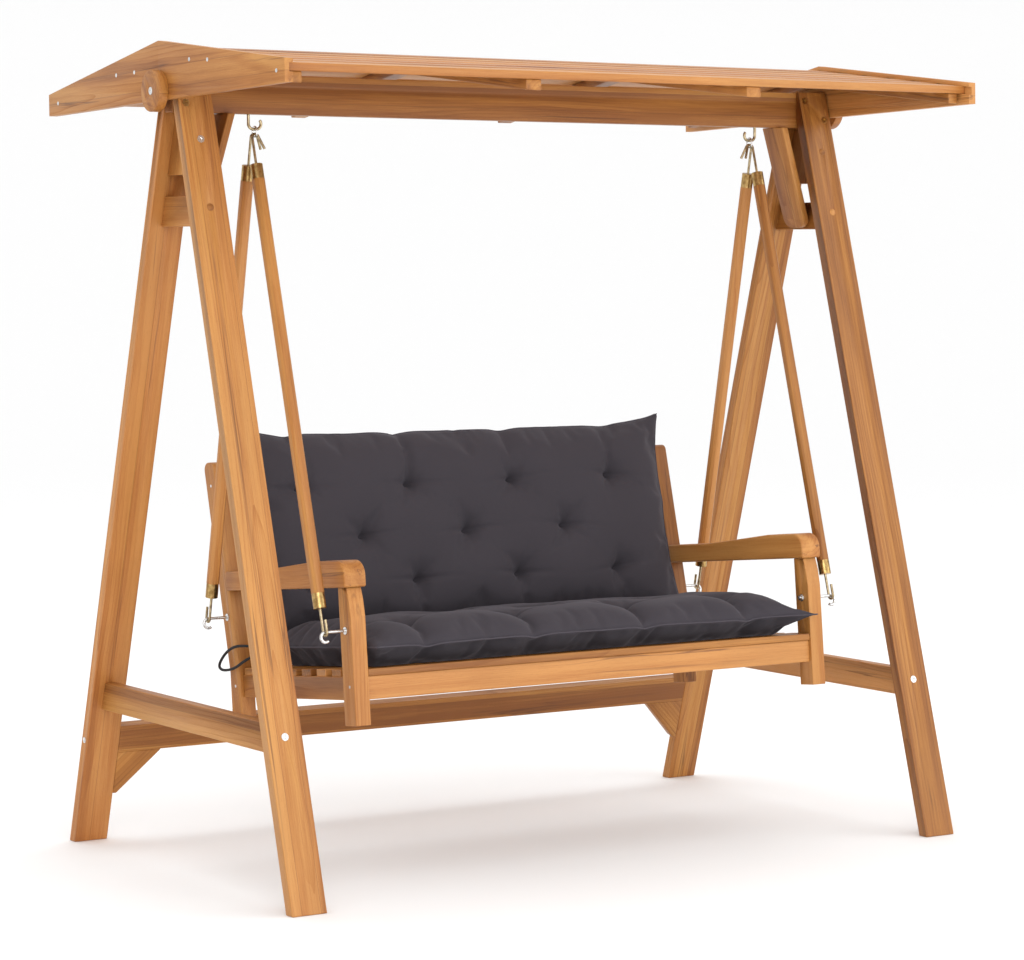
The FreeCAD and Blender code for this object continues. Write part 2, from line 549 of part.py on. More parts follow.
# ---------------------------------------------------------------- rods with their ferrules and hooks
hook_spots = {"front": bench.multVec(Vector(0, size("front_hook_v"), size("front_hook_w"))),
              "rear": bench.multVec(Vector(0, size("rear_hook_v"), size("rear_hook_w")))}
crown_height = link_low + size("crown_lift")
low_centre_rise = (size("low_hook_mean") - size("rod_wire") - size("hook_bolt_wire") - size("wire_gap")
                   - size("low_slack"))
ferrules, top_hooks, low_hooks = [], [], []
for side_name, side in SIDES:
    for end_name, sense in (("front", -1), ("rear", 1)):
        ring_spot = hook_spots[end_name]
        # The shank runs from the crown and just touches the lower hook's mean circle.
        eye = Vector(side * size("rod_x"), ring_spot.y, ring_spot.z + low_centre_rise)
        crown = Vector(side * size("rod_x"), sense * 3.4, crown_height - size("top_hook_mean"))
        direct = crown.sub(eye)
        aside = math.asin(sense * size("low_hook_mean") / direct.Length)
        swing_back = math.degrees(math.atan2(direct.y, direct.z) + aside)
        span = direct.Length * math.cos(aside)
        tilted = FreeCAD.Placement(eye, turned(X_AXIS, -swing_back))
        frame = tilted.multiply(place(0, -sense * size("low_hook_mean"), 0))
        wood_low = size("low_neck") + size("ferrule_len") * 0.6
        wood_high = span - size("top_neck") - size("ferrule_len") * 0.6
        half, cut = "(rod_size / 2)", "(rod_size / 2 - rod_bevel)"
        octagon = [(half, "-1 * %s" % cut), (half, cut), (cut, half), ("-1 * %s" % cut, half),
                   ("-1 * %s" % half, cut), ("-1 * %s" % half, "-1 * %s" % cut),
                   ("-1 * %s" % cut, "-1 * %s" % half), (cut, "-1 * %s" % half)]
        stick = prism(octagon, str(wood_high - wood_low), plane="XY_Plane", round_all="")
        stick.Placement = frame.multiply(place(0, 0, wood_low))
        # The ends of the rod are turned down to round tenons that fill the ferrules.
        collars = []
        tenon = "(ferrule_radius - ferrule_wall - 0.02)"
        for low, high in ((wood_low - 1.0, size("low_neck") + size("ferrule_len")),
                          (span - size("top_neck") - size("ferrule_len"), wood_high + 1.0)):
            outer = pin("30", str(high - low), frame.multiply(place(0, 0, low)))
            core = pin(tenon, str(high - low + 2), frame.multiply(place(0, 0, low - 1)))
            collars.append(drilled(outer, [core]))
        keep(drilled(stick, collars), "rod_%s_%s" % (end_name, side_name))
        for low in (size("low_neck"), span - size("top_neck") - size("ferrule_len")):
            shell = pin("ferrule_radius", "ferrule_len", frame.multiply(place(0, 0, low)))
            below = low < span / 2
            wood = pin("ferrule_radius - ferrule_wall", "ferrule_len - ferrule_wall",
                       frame.multiply(place(0, 0, low + (size("ferrule_wall") if below else 0))))
            mouth = pin("rod_wire + 0.05", "ferrule_len + 2", frame.multiply(place(0, 0, low - 1)))
            ferrules.append(drilled(shell, [wood, mouth]))
        inward = -side
        # Upper hook: shank, part ring over the link with its crown at the top, and a splayed tail.
        splay = size("tail_splay")
        mean = size("top_hook_mean")
        upper_end = span - size("top_neck") - size("ferrule_wall") - 12.0
        arc = bend("top_hook_mean", "rod_wire", 180.0 - splay,
                   frame.multiply(place(inward * mean, 0, span, turned(X_AXIS, 90)
                                        .multiply(turned(Z_AXIS, 0 if side > 0 else splay)))))
        shank = pin("rod_wire", str(span - upper_end), frame.multiply(place(0, 0, upper_end)))
        tail_x = inward * mean * (1 + math.cos(math.radians(splay)))
        tail_z = span + mean * math.sin(math.radians(splay))
        tail = pin("rod_wire", "tail_length",
                   frame.multiply(place(tail_x, 0, tail_z, turned(Y_AXIS, side * (180.0 + splay)))))
        top_hooks.append(fused(arc, shank, tail))
        # Lower hook: shank, half ring under the bench's hook and a tail on the outer side.
        arc_y = sense * size("low_hook_mean")
        arc = bend("low_hook_mean", "rod_wire", 180.0,
                   frame.multiply(place(0, arc_y, 0, turned(Z_AXIS, 90).multiply(turned(X_AXIS, -90)))))
        shank = pin("rod_wire", str(size("low_neck") + size("ferrule_wall") + 12.0), frame)
        tail = pin("rod_wire", "26", frame.multiply(place(0, 2 * arc_y, 0)))
        low_hooks.append(fused(arc, shank, tail))
keep(group(ferrules), "rod_ferrules")
keep(group(top_hooks + low_hooks), "rod_hooks")

# ---------------------------------------------------------------- bench hook bolts
hook_bolts, hook_nuts, bolt_room = [], [], {}
for side_name, side in SIDES:
    for end_name in ("front", "rear"):
        v, w = "%s_hook_v" % end_name, "%s_hook_w" % end_name
        # The shank runs outwards at the top; the hook curls down round the outside and back below it.
        facing = turned(Z_AXIS, 0 if side > 0 else 180).multiply(turned(X_AXIS, 90))
        centre = bench.multiply(place(side * size("ring_x"), size(v), size(w) - size("ring_mean")))
        ring = bend("ring_mean", "hook_bolt_wire", 215.0,
                    centre.multiply(place(0, 0, 0, facing.multiply(turned(Z_AXIS, -125)))))
        inner_x = size("post_outer_x") - size("post_width") - 9.0
        length = size("ring_x") - inner_x
        start = bench.multiply(place(side * inner_x, size(v), size(w), turned(Y_AXIS, 90 * side)))
        hook_bolts.append(fused(ring, pin("hook_bolt_wire", str(length), start)))
        bolt_room[side, end_name] = pin("hook_bolt_wire + 0.05", "60", start)
        for offset, radius, thick in ((3.0 + size("post_width") + 6.0, 8.5, 1.6), (7.4, 8.5, 1.6)):
            plate = pin(str(radius), str(thick), start.multiply(place(0, 0, offset)))
            hook_nuts.append(drilled(plate, [bolt_room[side, end_name]]))
        nut = doc.addObject("Part::Prism", "Nut")
        nut.Polygon = 6
        nut.Circumradius = 6.6
        nut.Height = 5.0
        nut.Placement = start.multiply(place(0, 0, 2.4))
        hook_nuts.append(drilled(nut, [bolt_room[side, end_name]]))
keep(group(hook_bolts), "bench_hook_bolts")
keep(group(hook_nuts), "bench_hook_nuts")

# ---------------------------------------------------------------- bench posts, arms and rails
for side_name, side in SIDES:
    low_x = side * size("post_outer_x") - (0 if side < 0 else size("post_width"))
    front = [("0", "0"), ("front_post_deep", "0"), ("front_post_deep", "arm_low"), ("13", "arm_low"),
             ("5", "arm_low - 28"), ("0", "arm_low - 66")]
    post = prism(front, "post_width")
    post.Placement = bench.multiply(place(low_x, 0, 0))
    keep(drilled(post, [bolt_room[side, "front"]]), "front_post_%s" % side_name)
    shift = "((rear_post_top - rear_bend) * tan(rear_lean * 1deg))"
    rear = [("rear_post_front", "0"), ("rear_post_front + rear_post_deep", "0"),
            ("rear_post_front + rear_post_deep", "rear_bend"),
            ("rear_post_front + rear_post_deep + %s" % shift, "rear_post_top"),
            ("rear_post_front + %s" % shift, "rear_post_top"), ("rear_post_front", "rear_bend")]
    post = prism(rear, "post_width", corners=((3, "18"), (4, "16")))
    post.Placement = bench.multiply(place(low_x, 0, 0))
    rear_post = keep(drilled(post, [bolt_room[side, "rear"]]), "rear_post_%s" % side_name)
    arm = prism([("arm_nose", "arm_low"), ("arm_tail", "arm_low"), ("arm_tail", "arm_rear_high"),
                 ("390", "arm_rear_high"), ("345", "arm_rear_high + 2"), ("190", "arm_front_high - 3"),
                 ("140", "arm_front_high"), ("arm_nose", "arm_front_high")],
                "arm_width", round_all="arm_round", corners=((7, "nose_round"),))
    middle = side * (size("post_outer_x") - size("post_width") / 2)
    arm.Placement = bench.multiply(place(middle - size("arm_width") / 2, 0, 0))
    notch = prism([(a if not a.startswith("rear_post_front") else a + " - 0.05", b) for a, b in rear],
                  "post_width + 0.1", round_all="")
    notch.Placement = bench.multiply(place(low_x - 0.05, 0, 0))
    keep(drilled(arm, [notch]), "arm_%s" % side_name)

slat_end = size("post_outer_x") - 8.0
inner_post = size("post_outer_x") - size("post_width")
front_rail = prism([("seat_rail_back", "seat_rail_low"), ("seat_rail_back + plank", "seat_rail_low"),
                    ("seat_rail_back + plank", "seat_rail_high"), ("seat_rail_back", "seat_rail_high")],
                   "2 * (post_outer_x - post_width)")
keep(front_rail, "seat_front_rail", bench.multiply(place(-inner_post, 0, 0)))
rear_rail = prism([("rear_post_front + 10", "seat_rail_low"), ("rear_post_front + 38", "seat_rail_low"),
                   ("rear_post_front + 38", "seat_rail_high"), ("rear_post_front + 10", "seat_rail_high")],
                  "2 * (post_outer_x - post_width)")
keep(rear_rail, "seat_rear_rail", bench.multiply(place(-inner_post, 0, 0)))
for name, x, start, stop in (("seat_side_rail_left", -slat_end, "front_post_deep", "rear_post_front"),
                             ("seat_side_rail_right", slat_end - size("plank"), "front_post_deep",
                              "rear_post_front"),
                             ("seat_centre_rail", -size("plank") / 2, "(seat_rail_back + plank)",
                              "(rear_post_front + 10)")):
    rail = prism([(start, "seat_rail_low"), (stop, "seat_rail_low"), (stop, "seat_rail_high"),
                  (start, "seat_rail_high")], "plank")
    keep(rail, name, bench.multiply(place(x, 0, 0)))

slats = []
for number in range(int(size("seat_slats"))):
    v = size("seat_rail_back") - 6.0 + number * size("seat_slat_pitch")
    half = inner_post - 1.0 if number == 0 else slat_end
    slat = prism([("0", "seat_rail_high"), ("seat_slat_wide", "seat_rail_high"),
                  ("seat_slat_wide", "seat_rail_high + seat_slat_thick"),
                  ("0", "seat_rail_high + seat_slat_thick")], str(2 * half))
    slat.Placement = bench.multiply(place(-half, v, 0))
    slats.append(slat)
keep(group(slats), "seat_slats")

back_inner = "2 * (post_outer_x - post_width)"
for name, low in (("back_low_rail", "back_low_rail"), ("back_top_rail", "back_top_rail")):
    rail = prism([("-1 * back_rail_thick / 2", low), ("back_rail_thick / 2", low),
                  ("back_rail_thick / 2", "%s + back_rail_deep" % low),
                  ("-1 * back_rail_thick / 2", "%s + back_rail_deep" % low)], back_inner)
    keep(rail, name, back.multiply(place(-inner_post, 0, 0)))
slats = []
count = int(size("back_slats"))
spacing = 2 * inner_post / count
for number in range(count):
    x = -inner_post + (number + 0.5) * spacing - size("back_slat_wide") / 2
    slat = prism([("0", "back_low_rail + back_rail_deep"), ("back_slat_thick", "back_low_rail + back_rail_deep"),
                  ("back_slat_thick", "back_top_rail"), ("0", "back_top_rail")], "back_slat_wide")
    slat.Placement = back.multiply(place(x, -size("back_slat_thick") / 2, 0))
    slats.append(slat)
keep(group(slats), "back_slats")

# ---------------------------------------------------------------- screws of the bench
bench_screws = []
for _, side in SIDES:
    for v, w in ((20.0, 86.0), (552.0, 82.0)):
        spot = bench.multiply(place(side * (size("post_outer_x") + 0.4), v, w, turned(Y_AXIS, -90 * side)))
        bench_screws.append(pin("3.5", "1.2", spot))
    spot = back.multiply(place(side * (size("post_outer_x") + 0.4), 0, size("back_top_rail") + 20,
                               turned(Y_AXIS, -90 * side)))
    bench_screws.append(pin("3.5", "1.2", spot))
keep(group(bench_screws), "bench_screws")

# ---------------------------------------------------------------- cushions and strap
seat_pad = prism([("seat_pad_front", "0"), ("seat_pad_back", "0"), ("seat_pad_back", "seat_pad_thick"),
                  ("seat_pad_front", "seat_pad_thick")], "2 * seat_pad_half", round_all="16")
seat_lift = size("seat_rail_high") + size("seat_slat_thick") + 0.4
keep(seat_pad, "seat_cushion", bench.multiply(place(-size("seat_pad_half"), 0, seat_lift)))
back_pad = prism([("-1 * back_pad_thick", "back_pad_low"), ("0", "back_pad_low"), ("0", "back_pad_high"),
                  ("-1 * back_pad_thick", "back_pad_high")], "2 * back_pad_half", round_all="16")
keep(back_pad, "back_cushion",
     back.multiply(place(-size("back_pad_half"), -size("back_rail_thick") / 2 - 0.4, 0)))

# ---------------------------------------------------------------- checks and files
doc.recompute()
for obj in doc.Objects:
    if "Invalid" in obj.State or "Error" in obj.State:
        raise RuntimeError("%s (%s) failed: %s" % (obj.Name, obj.Label, obj.State))
os.makedirs("parts", exist_ok=True)
for obj in nodes:
    if obj.Shape.isNull() or not obj.Shape.isValid() or not obj.Shape.Solids:
        raise RuntimeError("%s has no valid solid" % obj.Label)
for obj in nodes:
    obj.Shape.exportStep("parts/%s.step" % obj.Label)
box = Part.makeCompound([obj.Shape for obj in nodes]).BoundBox
print("%d nodes, %.0f x %.0f x %.0f mm" % (len(nodes), box.XLength, box.YLength, box.ZLength), box)
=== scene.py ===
import json
import logging
import math
import random
from dataclasses import dataclass, field
from enum import Enum
from typing import ClassVar

import bmesh
import bpy
from mathutils import Matrix, Vector
from mathutils.noise import noise as smooth_noise


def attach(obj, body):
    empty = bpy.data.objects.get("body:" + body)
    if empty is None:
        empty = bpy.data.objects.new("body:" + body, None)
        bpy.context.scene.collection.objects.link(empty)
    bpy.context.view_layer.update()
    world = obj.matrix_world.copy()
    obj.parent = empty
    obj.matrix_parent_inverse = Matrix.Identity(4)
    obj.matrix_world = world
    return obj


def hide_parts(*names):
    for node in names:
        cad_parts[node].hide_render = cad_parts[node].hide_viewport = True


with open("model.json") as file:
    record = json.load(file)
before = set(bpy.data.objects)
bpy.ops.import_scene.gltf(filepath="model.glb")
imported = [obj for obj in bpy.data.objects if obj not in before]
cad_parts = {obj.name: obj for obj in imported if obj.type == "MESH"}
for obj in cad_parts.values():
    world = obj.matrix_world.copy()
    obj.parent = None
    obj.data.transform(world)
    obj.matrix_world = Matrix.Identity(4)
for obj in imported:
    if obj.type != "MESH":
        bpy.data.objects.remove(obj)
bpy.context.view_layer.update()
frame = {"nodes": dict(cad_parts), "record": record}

log = logging.getLogger("canopy_swing_bench")

Point = tuple[float, float, float]
Colour = tuple[float, float, float]

# -------------------- places shared by the pieces
BENCH_ORIGIN: Point = (0.0, -0.3715, 0.365)
BENCH_TILT: float = math.radians(5.7)
REAR_LEAN: float = math.radians(9.1)
BACK_FOOT: Point = (0.0, 0.552, 0.113)
BENCH: Matrix = Matrix.Translation(BENCH_ORIGIN) @ Matrix.Rotation(-BENCH_TILT, 4, "X")
BACK: Matrix = BENCH @ Matrix.Translation(BACK_FOOT) @ Matrix.Rotation(-REAR_LEAN, 4, "X")

BLACK: Colour = (0.0, 0.0, 0.0)
WHITE: Colour = (1.0, 1.0, 1.0)


class Body(Enum):
    """The moving bodies of the swing bench."""

    FRAME = "frame"
    CANOPY = "canopy"
    BENCH = "bench"
    HANGER_LEFT = "hanger_left"
    HANGER_RIGHT = "hanger_right"


class Slot(Enum):
    """The record's finishes."""

    TEAK = "teak"
    BRASS = "brass"
    ZINC = "zinc"
    CLOTH = "cushion_cloth"


# -------------------- small helpers
def deselect() -> None:
    """Leave nothing selected."""
    for item in bpy.context.selected_objects:
        item.select_set(False)


def activate(piece: bpy.types.Object) -> None:
    """Select one piece alone and make it active.

    Args:
        piece: The object to select.
    """
    deselect()
    piece.select_set(True)
    bpy.context.view_layer.objects.active = piece


def finish_modifiers(piece: bpy.types.Object) -> None:
    """Apply every modifier of a piece, in order.

    Args:
        piece: The object whose modifiers are applied.
    """
    activate(piece)
    for modifier in list(piece.modifiers):
        bpy.ops.object.modifier_apply(modifier=modifier.name)


def freeze(piece: bpy.types.Object) -> None:
    """Put a piece's place into its mesh.

    Args:
        piece: The object, unparented.
    """
    activate(piece)
    bpy.ops.object.transform_apply(location=True, rotation=True, scale=True)


def dress(piece: bpy.types.Object, material: bpy.types.Material) -> None:
    """Give a piece one material all over.

    Args:
        piece: The object to dress.
        material: Its only material.
    """
    piece.data.materials.clear()
    piece.data.materials.append(material)


def settle(piece: bpy.types.Object, body: Body, slot: Slot, *nodes: str) -> None:
    """Fix a finished piece to its body and hide the CAD nodes that it replaces.

    Args:
        piece: The finished object.
        body: The body it moves with.
        slot: Not used.
        nodes: The CAD nodes it replaces.
    """
    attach(piece, body.value)
    if nodes:
        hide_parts(*nodes)
    log.info("%s rides on %s", piece.name, body.value)


def write_weave(piece: bpy.types.Object, places: list[float]) -> None:
    """Write where each point lies in the woven cloth, for the weave to follow.

    Args:
        piece: A piece of the pad.
        places: Three numbers for each point: across, along and which panel, which sets that panel's
            painted shade or painted highlight.
    """
    layer = piece.data.attributes.new("weave", "FLOAT_VECTOR", "POINT")
    layer.data.foreach_set("vector", places)


def hill(away: float, width: float, power: float = 2.0) -> float:
    """A smooth hill that is 1 in its middle.

    Args:
        away: The distance from its middle.
        width: How far it has fallen to about a third.
        power: How steep its flanks are.

    Returns:
        Its height there.
    """
    return math.exp(-((abs(away) / width) ** power))


# -------------------- node-tree shorthand
class Tree:
    """A material's node tree with short ways to add and join nodes."""

    def __init__(self, name: str) -> None:
        """Start an empty tree with a Principled shader.

        Args:
            name: The material's name.
        """
        self.material = bpy.data.materials.new(name)
        self.material.use_nodes = True
        self.nodes = self.material.node_tree.nodes
        self.links = self.material.node_tree.links
        self.nodes.clear()
        out = self.nodes.new("ShaderNodeOutputMaterial")
        self.shader = self.nodes.new("ShaderNodeBsdfPrincipled")
        self.join(self.shader.outputs[0], out.inputs[0])

    def join(self, start: bpy.types.NodeSocket, end: bpy.types.NodeSocket) -> None:
        """Link two sockets."""
        self.links.new(start, end)

    def feed(self, socket: bpy.types.NodeSocket, value: object) -> None:
        """Link or set a socket.

        Args:
            socket: The input to feed.
            value: Another node's output, or a plain value.
        """
        if isinstance(value, bpy.types.NodeSocket):
            self.join(value, socket)
        else:
            socket.default_value = value

    def attribute(self, name: str) -> bpy.types.Node:
        """An Attribute node.

        Args:
            name: The mesh attribute that it reads.

        Returns:
            The node.
        """
        node = self.nodes.new("ShaderNodeAttribute")
        node.attribute_name = name
        return node

    def math(self, kind: str, first: object, second: object = 0.0) -> bpy.types.NodeSocket:
        """A Math node.

        Args:
            kind: The operation.
            first: Its first input.
            second: Its second input.

        Returns:
            The result's socket.
        """
        node = self.nodes.new("ShaderNodeMath")
        node.operation = kind
        self.feed(node.inputs[0], first)
        self.feed(node.inputs[1], second)
        return node.outputs[0]

    def share(self, value: bpy.types.NodeSocket, part: float) -> bpy.types.NodeSocket:
        """A part of a value."""
        return self.math("MULTIPLY", value, part)

    def either_way(self, value: bpy.types.NodeSocket, part: float) -> bpy.types.NodeSocket:
        """A part of a value between 0 and 1, taken from its middle."""
        return self.share(self.math("SUBTRACT", value, 0.5), part)

    def mapping(self, vector: bpy.types.NodeSocket, scale: Point,
                location: Point | None = None) -> bpy.types.NodeSocket:
        """A Mapping node that stretches and moves coordinates.

        Args:
            vector: The coordinates.
            scale: The stretch along each axis.
            location: A shift, or nothing.

        Returns:
            The new coordinates' socket.
        """
        node = self.nodes.new("ShaderNodeMapping")
        self.join(vector, node.inputs["Vector"])
        node.inputs["Scale"].default_value = scale
        if location is not None:
            node.inputs["Location"].default_value = location
        return node.outputs[0]

    def noise(self, vector: bpy.types.NodeSocket, detail: float, rough: float,
              distortion: float = 0.0, output: int = 0) -> bpy.types.NodeSocket:
        """A Noise texture, whose size its coordinates set.

        Args:
            vector: Where it is read.
            detail: How many octaves it has.
            rough: How strong each octave is.
            distortion: How far it is warped.
            output: 0 for its value, 1 for its colour.

        Returns:
            The output's socket.
        """
        node = self.nodes.new("ShaderNodeTexNoise")
        self.join(vector, node.inputs["Vector"])
        node.inputs["Scale"].default_value = 1.0
        node.inputs["Detail"].default_value = detail
        node.inputs["Roughness"].default_value = rough
        node.inputs["Distortion"].default_value = distortion
        return node.outputs[output]

    def ramp(self, value: bpy.types.NodeSocket,
             *stops: tuple[float, Colour]) -> bpy.types.NodeSocket:
        """A colour ramp.

        Args:
            value: The place on the ramp.
            stops: Each stop's place and colour.

        Returns:
            The colour's socket.
        """
        node = self.nodes.new("ShaderNodeValToRGB")
        self.join(value, node.inputs[0])
        elements = node.color_ramp.elements
        while len(elements) < len(stops):
            elements.new(0.5)
        for element, (place, colour) in zip(elements, stops):
            element.position = place
            element.color = (*colour, 1.0)
        return node.outputs[0]

    def mix(self, factor: object, first: object, second: object) -> bpy.types.NodeSocket:
        """A colour Mix node.

        Args:
            factor: How much of the second colour shows.
            first: The first colour.
            second: The second colour.

        Returns:
            The colour's socket.
        """
        node = self.nodes.new("ShaderNodeMix")
        node.data_type = "RGBA"
        for place, value in ((0, factor), (6, first), (7, second)):
            self.feed(node.inputs[place], (*value, 1.0) if isinstance(value, tuple) else value)
        return node.outputs[2]

    def bump(self, height: bpy.types.NodeSocket, strength: float, distance: float) -> None:
        """Roughen the shader's surface with a Bump node.

        Args:
            height: The height's socket.
            strength: How much of it shows.
            distance: Its depth in metres.
        """
        node = self.nodes.new("ShaderNodeBump")
        self.join(height, node.inputs["Height"])
        node.inputs["Strength"].default_value = strength
        node.inputs["Distance"].default_value = distance
        self.join(node.outputs[0], self.shader.inputs["Normal"])

    def give(self, name: str, value: object) -> None:
        """Link or set one of the shader's own inputs."""
        self.feed(self.shader.inputs[name], value)


# -------------------- finishes
@dataclass(frozen=True)
class OiledTeak:
    """Honey-brown oiled teak, figured along each board's own length.

    The figure adds shares of rings, bands, fibres and each board's and strip's own tone, and the
    sum picks a tone between pale and dark.
    """

    pale: Colour = (0.520, 0.238, 0.062)
    middle: Colour = (0.400, 0.152, 0.031)
    dark: Colour = (0.230, 0.071, 0.0125)
    streak: Colour = (0.088, 0.026, 0.007)
    ring_spacing: float = 0.0095
    ring_sway: float = 0.085
    ring_sharpness: float = 4.5
    heart_spread: float = 0.34
    heart_depth: float = 0.045
    ring_share: float = 0.17
    broad_share: float = 0.86
    fine_share: float = 0.34
    board_share: float = 0.40
    strip_share: float = 0.26
    strip_width: float = 0.047
    glue_line_from: float = 0.488
    glue_line_share: float = 0.42
    vein_share: float = 0.70
    pores_over: float = 0.62
    pore_share: float = 0.30
    cloud_share: float = 0.26
    least_value: float = 0.86

    def rings(self, tree: Tree, grain: bpy.types.NodeSocket,
              board: bpy.types.NodeSocket) -> bpy.types.NodeSocket:
        """Growth rings that wander along the board, about a heart that each board has elsewhere.

        Args:
            tree: The material's tree.
            grain: The board's own length, width and depth.
            board: The board's own number, from 0 to 1.

        Returns:
            The rings' strength, which comes and goes in patches.
        """
        wander = tree.noise(tree.mapping(grain, (1.3, 7.0, 7.0)), 3.0, 0.45, output=1)
        centred = tree.nodes.new("ShaderNodeVectorMath")
        centred.operation = "SUBTRACT"
        tree.join(wander, centred.inputs[0])
        centred.inputs[1].default_value = (0.5, 0.5, 0.5)
        swayed = tree.nodes.new("ShaderNodeVectorMath")
        swayed.operation = "MULTIPLY_ADD"
        tree.join(centred.outputs[0], swayed.inputs[0])
        swayed.inputs[1].default_value = (0.0, self.ring_sway, self.ring_sway)
        tree.join(grain, swayed.inputs[2])
        split = tree.nodes.new("ShaderNodeSeparateXYZ")
        tree.join(swayed.outputs[0], split.inputs[0])
        heart = tree.either_way(board, self.heart_spread)
        across = tree.math("SUBTRACT", split.outputs["Y"], heart)
        deep = tree.math("ADD", split.outputs["Z"], self.heart_depth)
        reach = tree.math("SQRT", tree.math("ADD", tree.math("MULTIPLY", across, across),
                                            tree.math("MULTIPLY", deep, deep)))
        place = tree.math("FRACT", tree.math("DIVIDE", reach, self.ring_spacing))
        patch = tree.noise(tree.mapping(grain, (1.7, 6.0, 6.0), (4.4, 1.3, 8.8)), 1.0, 0.5)
        patch = tree.ramp(patch, (0.40, (0.15, 0.15, 0.15)), (0.58, WHITE))
        return tree.math("MULTIPLY", tree.math("POWER", place, self.ring_sharpness), patch)

    def strips(self, tree: Tree, grain: bpy.types.NodeSocket, board: bpy.types.NodeSocket
               ) -> tuple[bpy.types.NodeSocket, bpy.types.NodeSocket]:
        """The strips that a wide board is glued up from, each of its own tone.

        Args:
            tree: The material's tree.
            grain: The board's own length, width and depth.
            board: The board's own number.

        Returns:
            The strip's share of the figure, and the thin glue line between two strips.
        """
        flat = tree.nodes.new("ShaderNodeSeparateXYZ")
        tree.join(grain, flat.inputs[0])
        glued = tree.attribute("glued").outputs["Fac"]
        strips = tree.math("DIVIDE", flat.outputs["Y"], self.strip_width)
        draw = tree.nodes.new("ShaderNodeTexWhiteNoise")
        draw.noise_dimensions = "2D"
        key = tree.nodes.new("ShaderNodeCombineXYZ")
        tree.join(tree.math("FLOOR", strips), key.inputs[0])
        tree.join(board, key.inputs[1])
        tree.join(key.outputs[0], draw.inputs["Vector"])
        own = tree.either_way(draw.outputs["Value"], self.strip_share)
        middle = tree.math("ABSOLUTE", tree.math("SUBTRACT", tree.math("FRACT", strips), 0.5))
        line = tree.math("GREATER_THAN", middle, self.glue_line_from)
        return tree.math("MULTIPLY", own, glued), tree.math("MULTIPLY", line, glued)

    def veins(self, tree: Tree, grain: bpy.types.NodeSocket) -> bpy.types.NodeSocket:
        """Dark mineral streaks that run a long way and swell here and there.

        Args:
            tree: The material's tree.
            grain: The board's own length, width and depth.

        Returns:
            The streaks' strength.
        """
        vein = tree.noise(tree.mapping(grain, (0.9, 34.0, 34.0), (3.1, 7.7, 1.9)), 3.0, 0.5, 1.1)
        vein = tree.ramp(vein, (0.610, BLACK), (0.645, WHITE), (0.675, BLACK))
        gate = tree.noise(tree.mapping(grain, (2.1, 5.0, 5.0), (9.3, 2.2, 4.4)), 1.0, 0.5)
        gate = tree.ramp(gate, (0.47, BLACK), (0.60, WHITE))
        return tree.share(tree.math("MULTIPLY", vein, gate), self.vein_share)

    def build(self) -> bpy.types.Material:
        """Make the material.

        Returns:
            The finished teak.
        """
        tree = Tree("oiled_teak")
        grain = tree.attribute("grain").outputs["Vector"]
        board = tree.attribute("board").outputs["Fac"]
        rings = self.rings(tree, grain, board)
        fine = tree.noise(tree.mapping(grain, (9.0, 620.0, 620.0)), 3.0, 0.6)
        pores = tree.noise(tree.mapping(grain, (38.0, 1500.0, 1500.0)), 2.0, 0.7)
        broad = tree.noise(tree.mapping(grain, (1.1, 26.0, 26.0)), 4.0, 0.55, 0.4)
        cloud = tree.noise(tree.mapping(grain, (3.2, 9.0, 9.0)), 2.0, 0.5)
        strip, line = self.strips(tree, grain, board)
        figure = tree.share(rings, self.ring_share)
        for layer in (tree.share(broad, self.broad_share), tree.either_way(fine, self.fine_share),
                      tree.either_way(board, self.board_share), strip):
            figure = tree.math("ADD", figure, layer)
        tone = tree.ramp(figure, (0.27, self.pale), (0.49, self.middle), (0.74, self.dark))
        tone = tree.mix(self.veins(tree, grain), tone, self.streak)
        open_pores = tree.math("GREATER_THAN", pores, self.pores_over)
        tone = tree.mix(tree.share(open_pores, self.pore_share), tone, self.dark)
        tone = tree.mix(tree.share(line, self.glue_line_share), tone, self.streak)
        shade = tree.nodes.new("ShaderNodeHueSaturation")
        tree.join(tone, shade.inputs["Color"])
        value = tree.math("ADD", self.least_value, tree.share(cloud, self.cloud_share))
        tree.join(value, shade.inputs["Value"])
        tree.join(tree.math("ADD", 0.496, tree.share(board, 0.010)), shade.inputs["Hue"])
        tree.give("Base Color", shade.outputs[0])
        gloss = tree.math("ADD", 0.40, tree.share(rings, 0.14))
        tree.give("Roughness", tree.math("ADD", gloss, tree.share(fine, 0.12)))
        tree.give("Specular IOR Level", 0.42)
        tree.bump(tree.math("ADD", tree.share(fine, 0.6), tree.share(pores, 0.5)), 0.35, 0.0006)
        return tree.material


@dataclass(frozen=True)
class PlainMetal:
    """A plated or solid metal with handling marks."""

    name: str
    bright: Colour
    dull: Colour
    roughness: float

    def build(self) -> bpy.types.Material:
        """Make the material.

        Returns:
            The finished metal.
        """
        tree = Tree(self.name)
        place = tree.nodes.new("ShaderNodeTexCoord").outputs["Object"]
        blotch = tree.noise(tree.mapping(place, (90.0, 90.0, 90.0)), 4.0, 0.6)
        brushed = tree.noise(tree.mapping(place, (900.0, 900.0, 2600.0)), 2.0, 0.6)
        worn = tree.ramp(blotch, (0.38, BLACK), (0.66, WHITE))
        tree.give("Base Color", tree.mix(worn, self.bright, self.dull))
        tree.give("Metallic", 1.0)
        tree.give("Roughness", tree.math("ADD", self.roughness, tree.share(blotch, 0.16)))
        tree.bump(brushed, 0.12, 0.0002)
        return tree.material


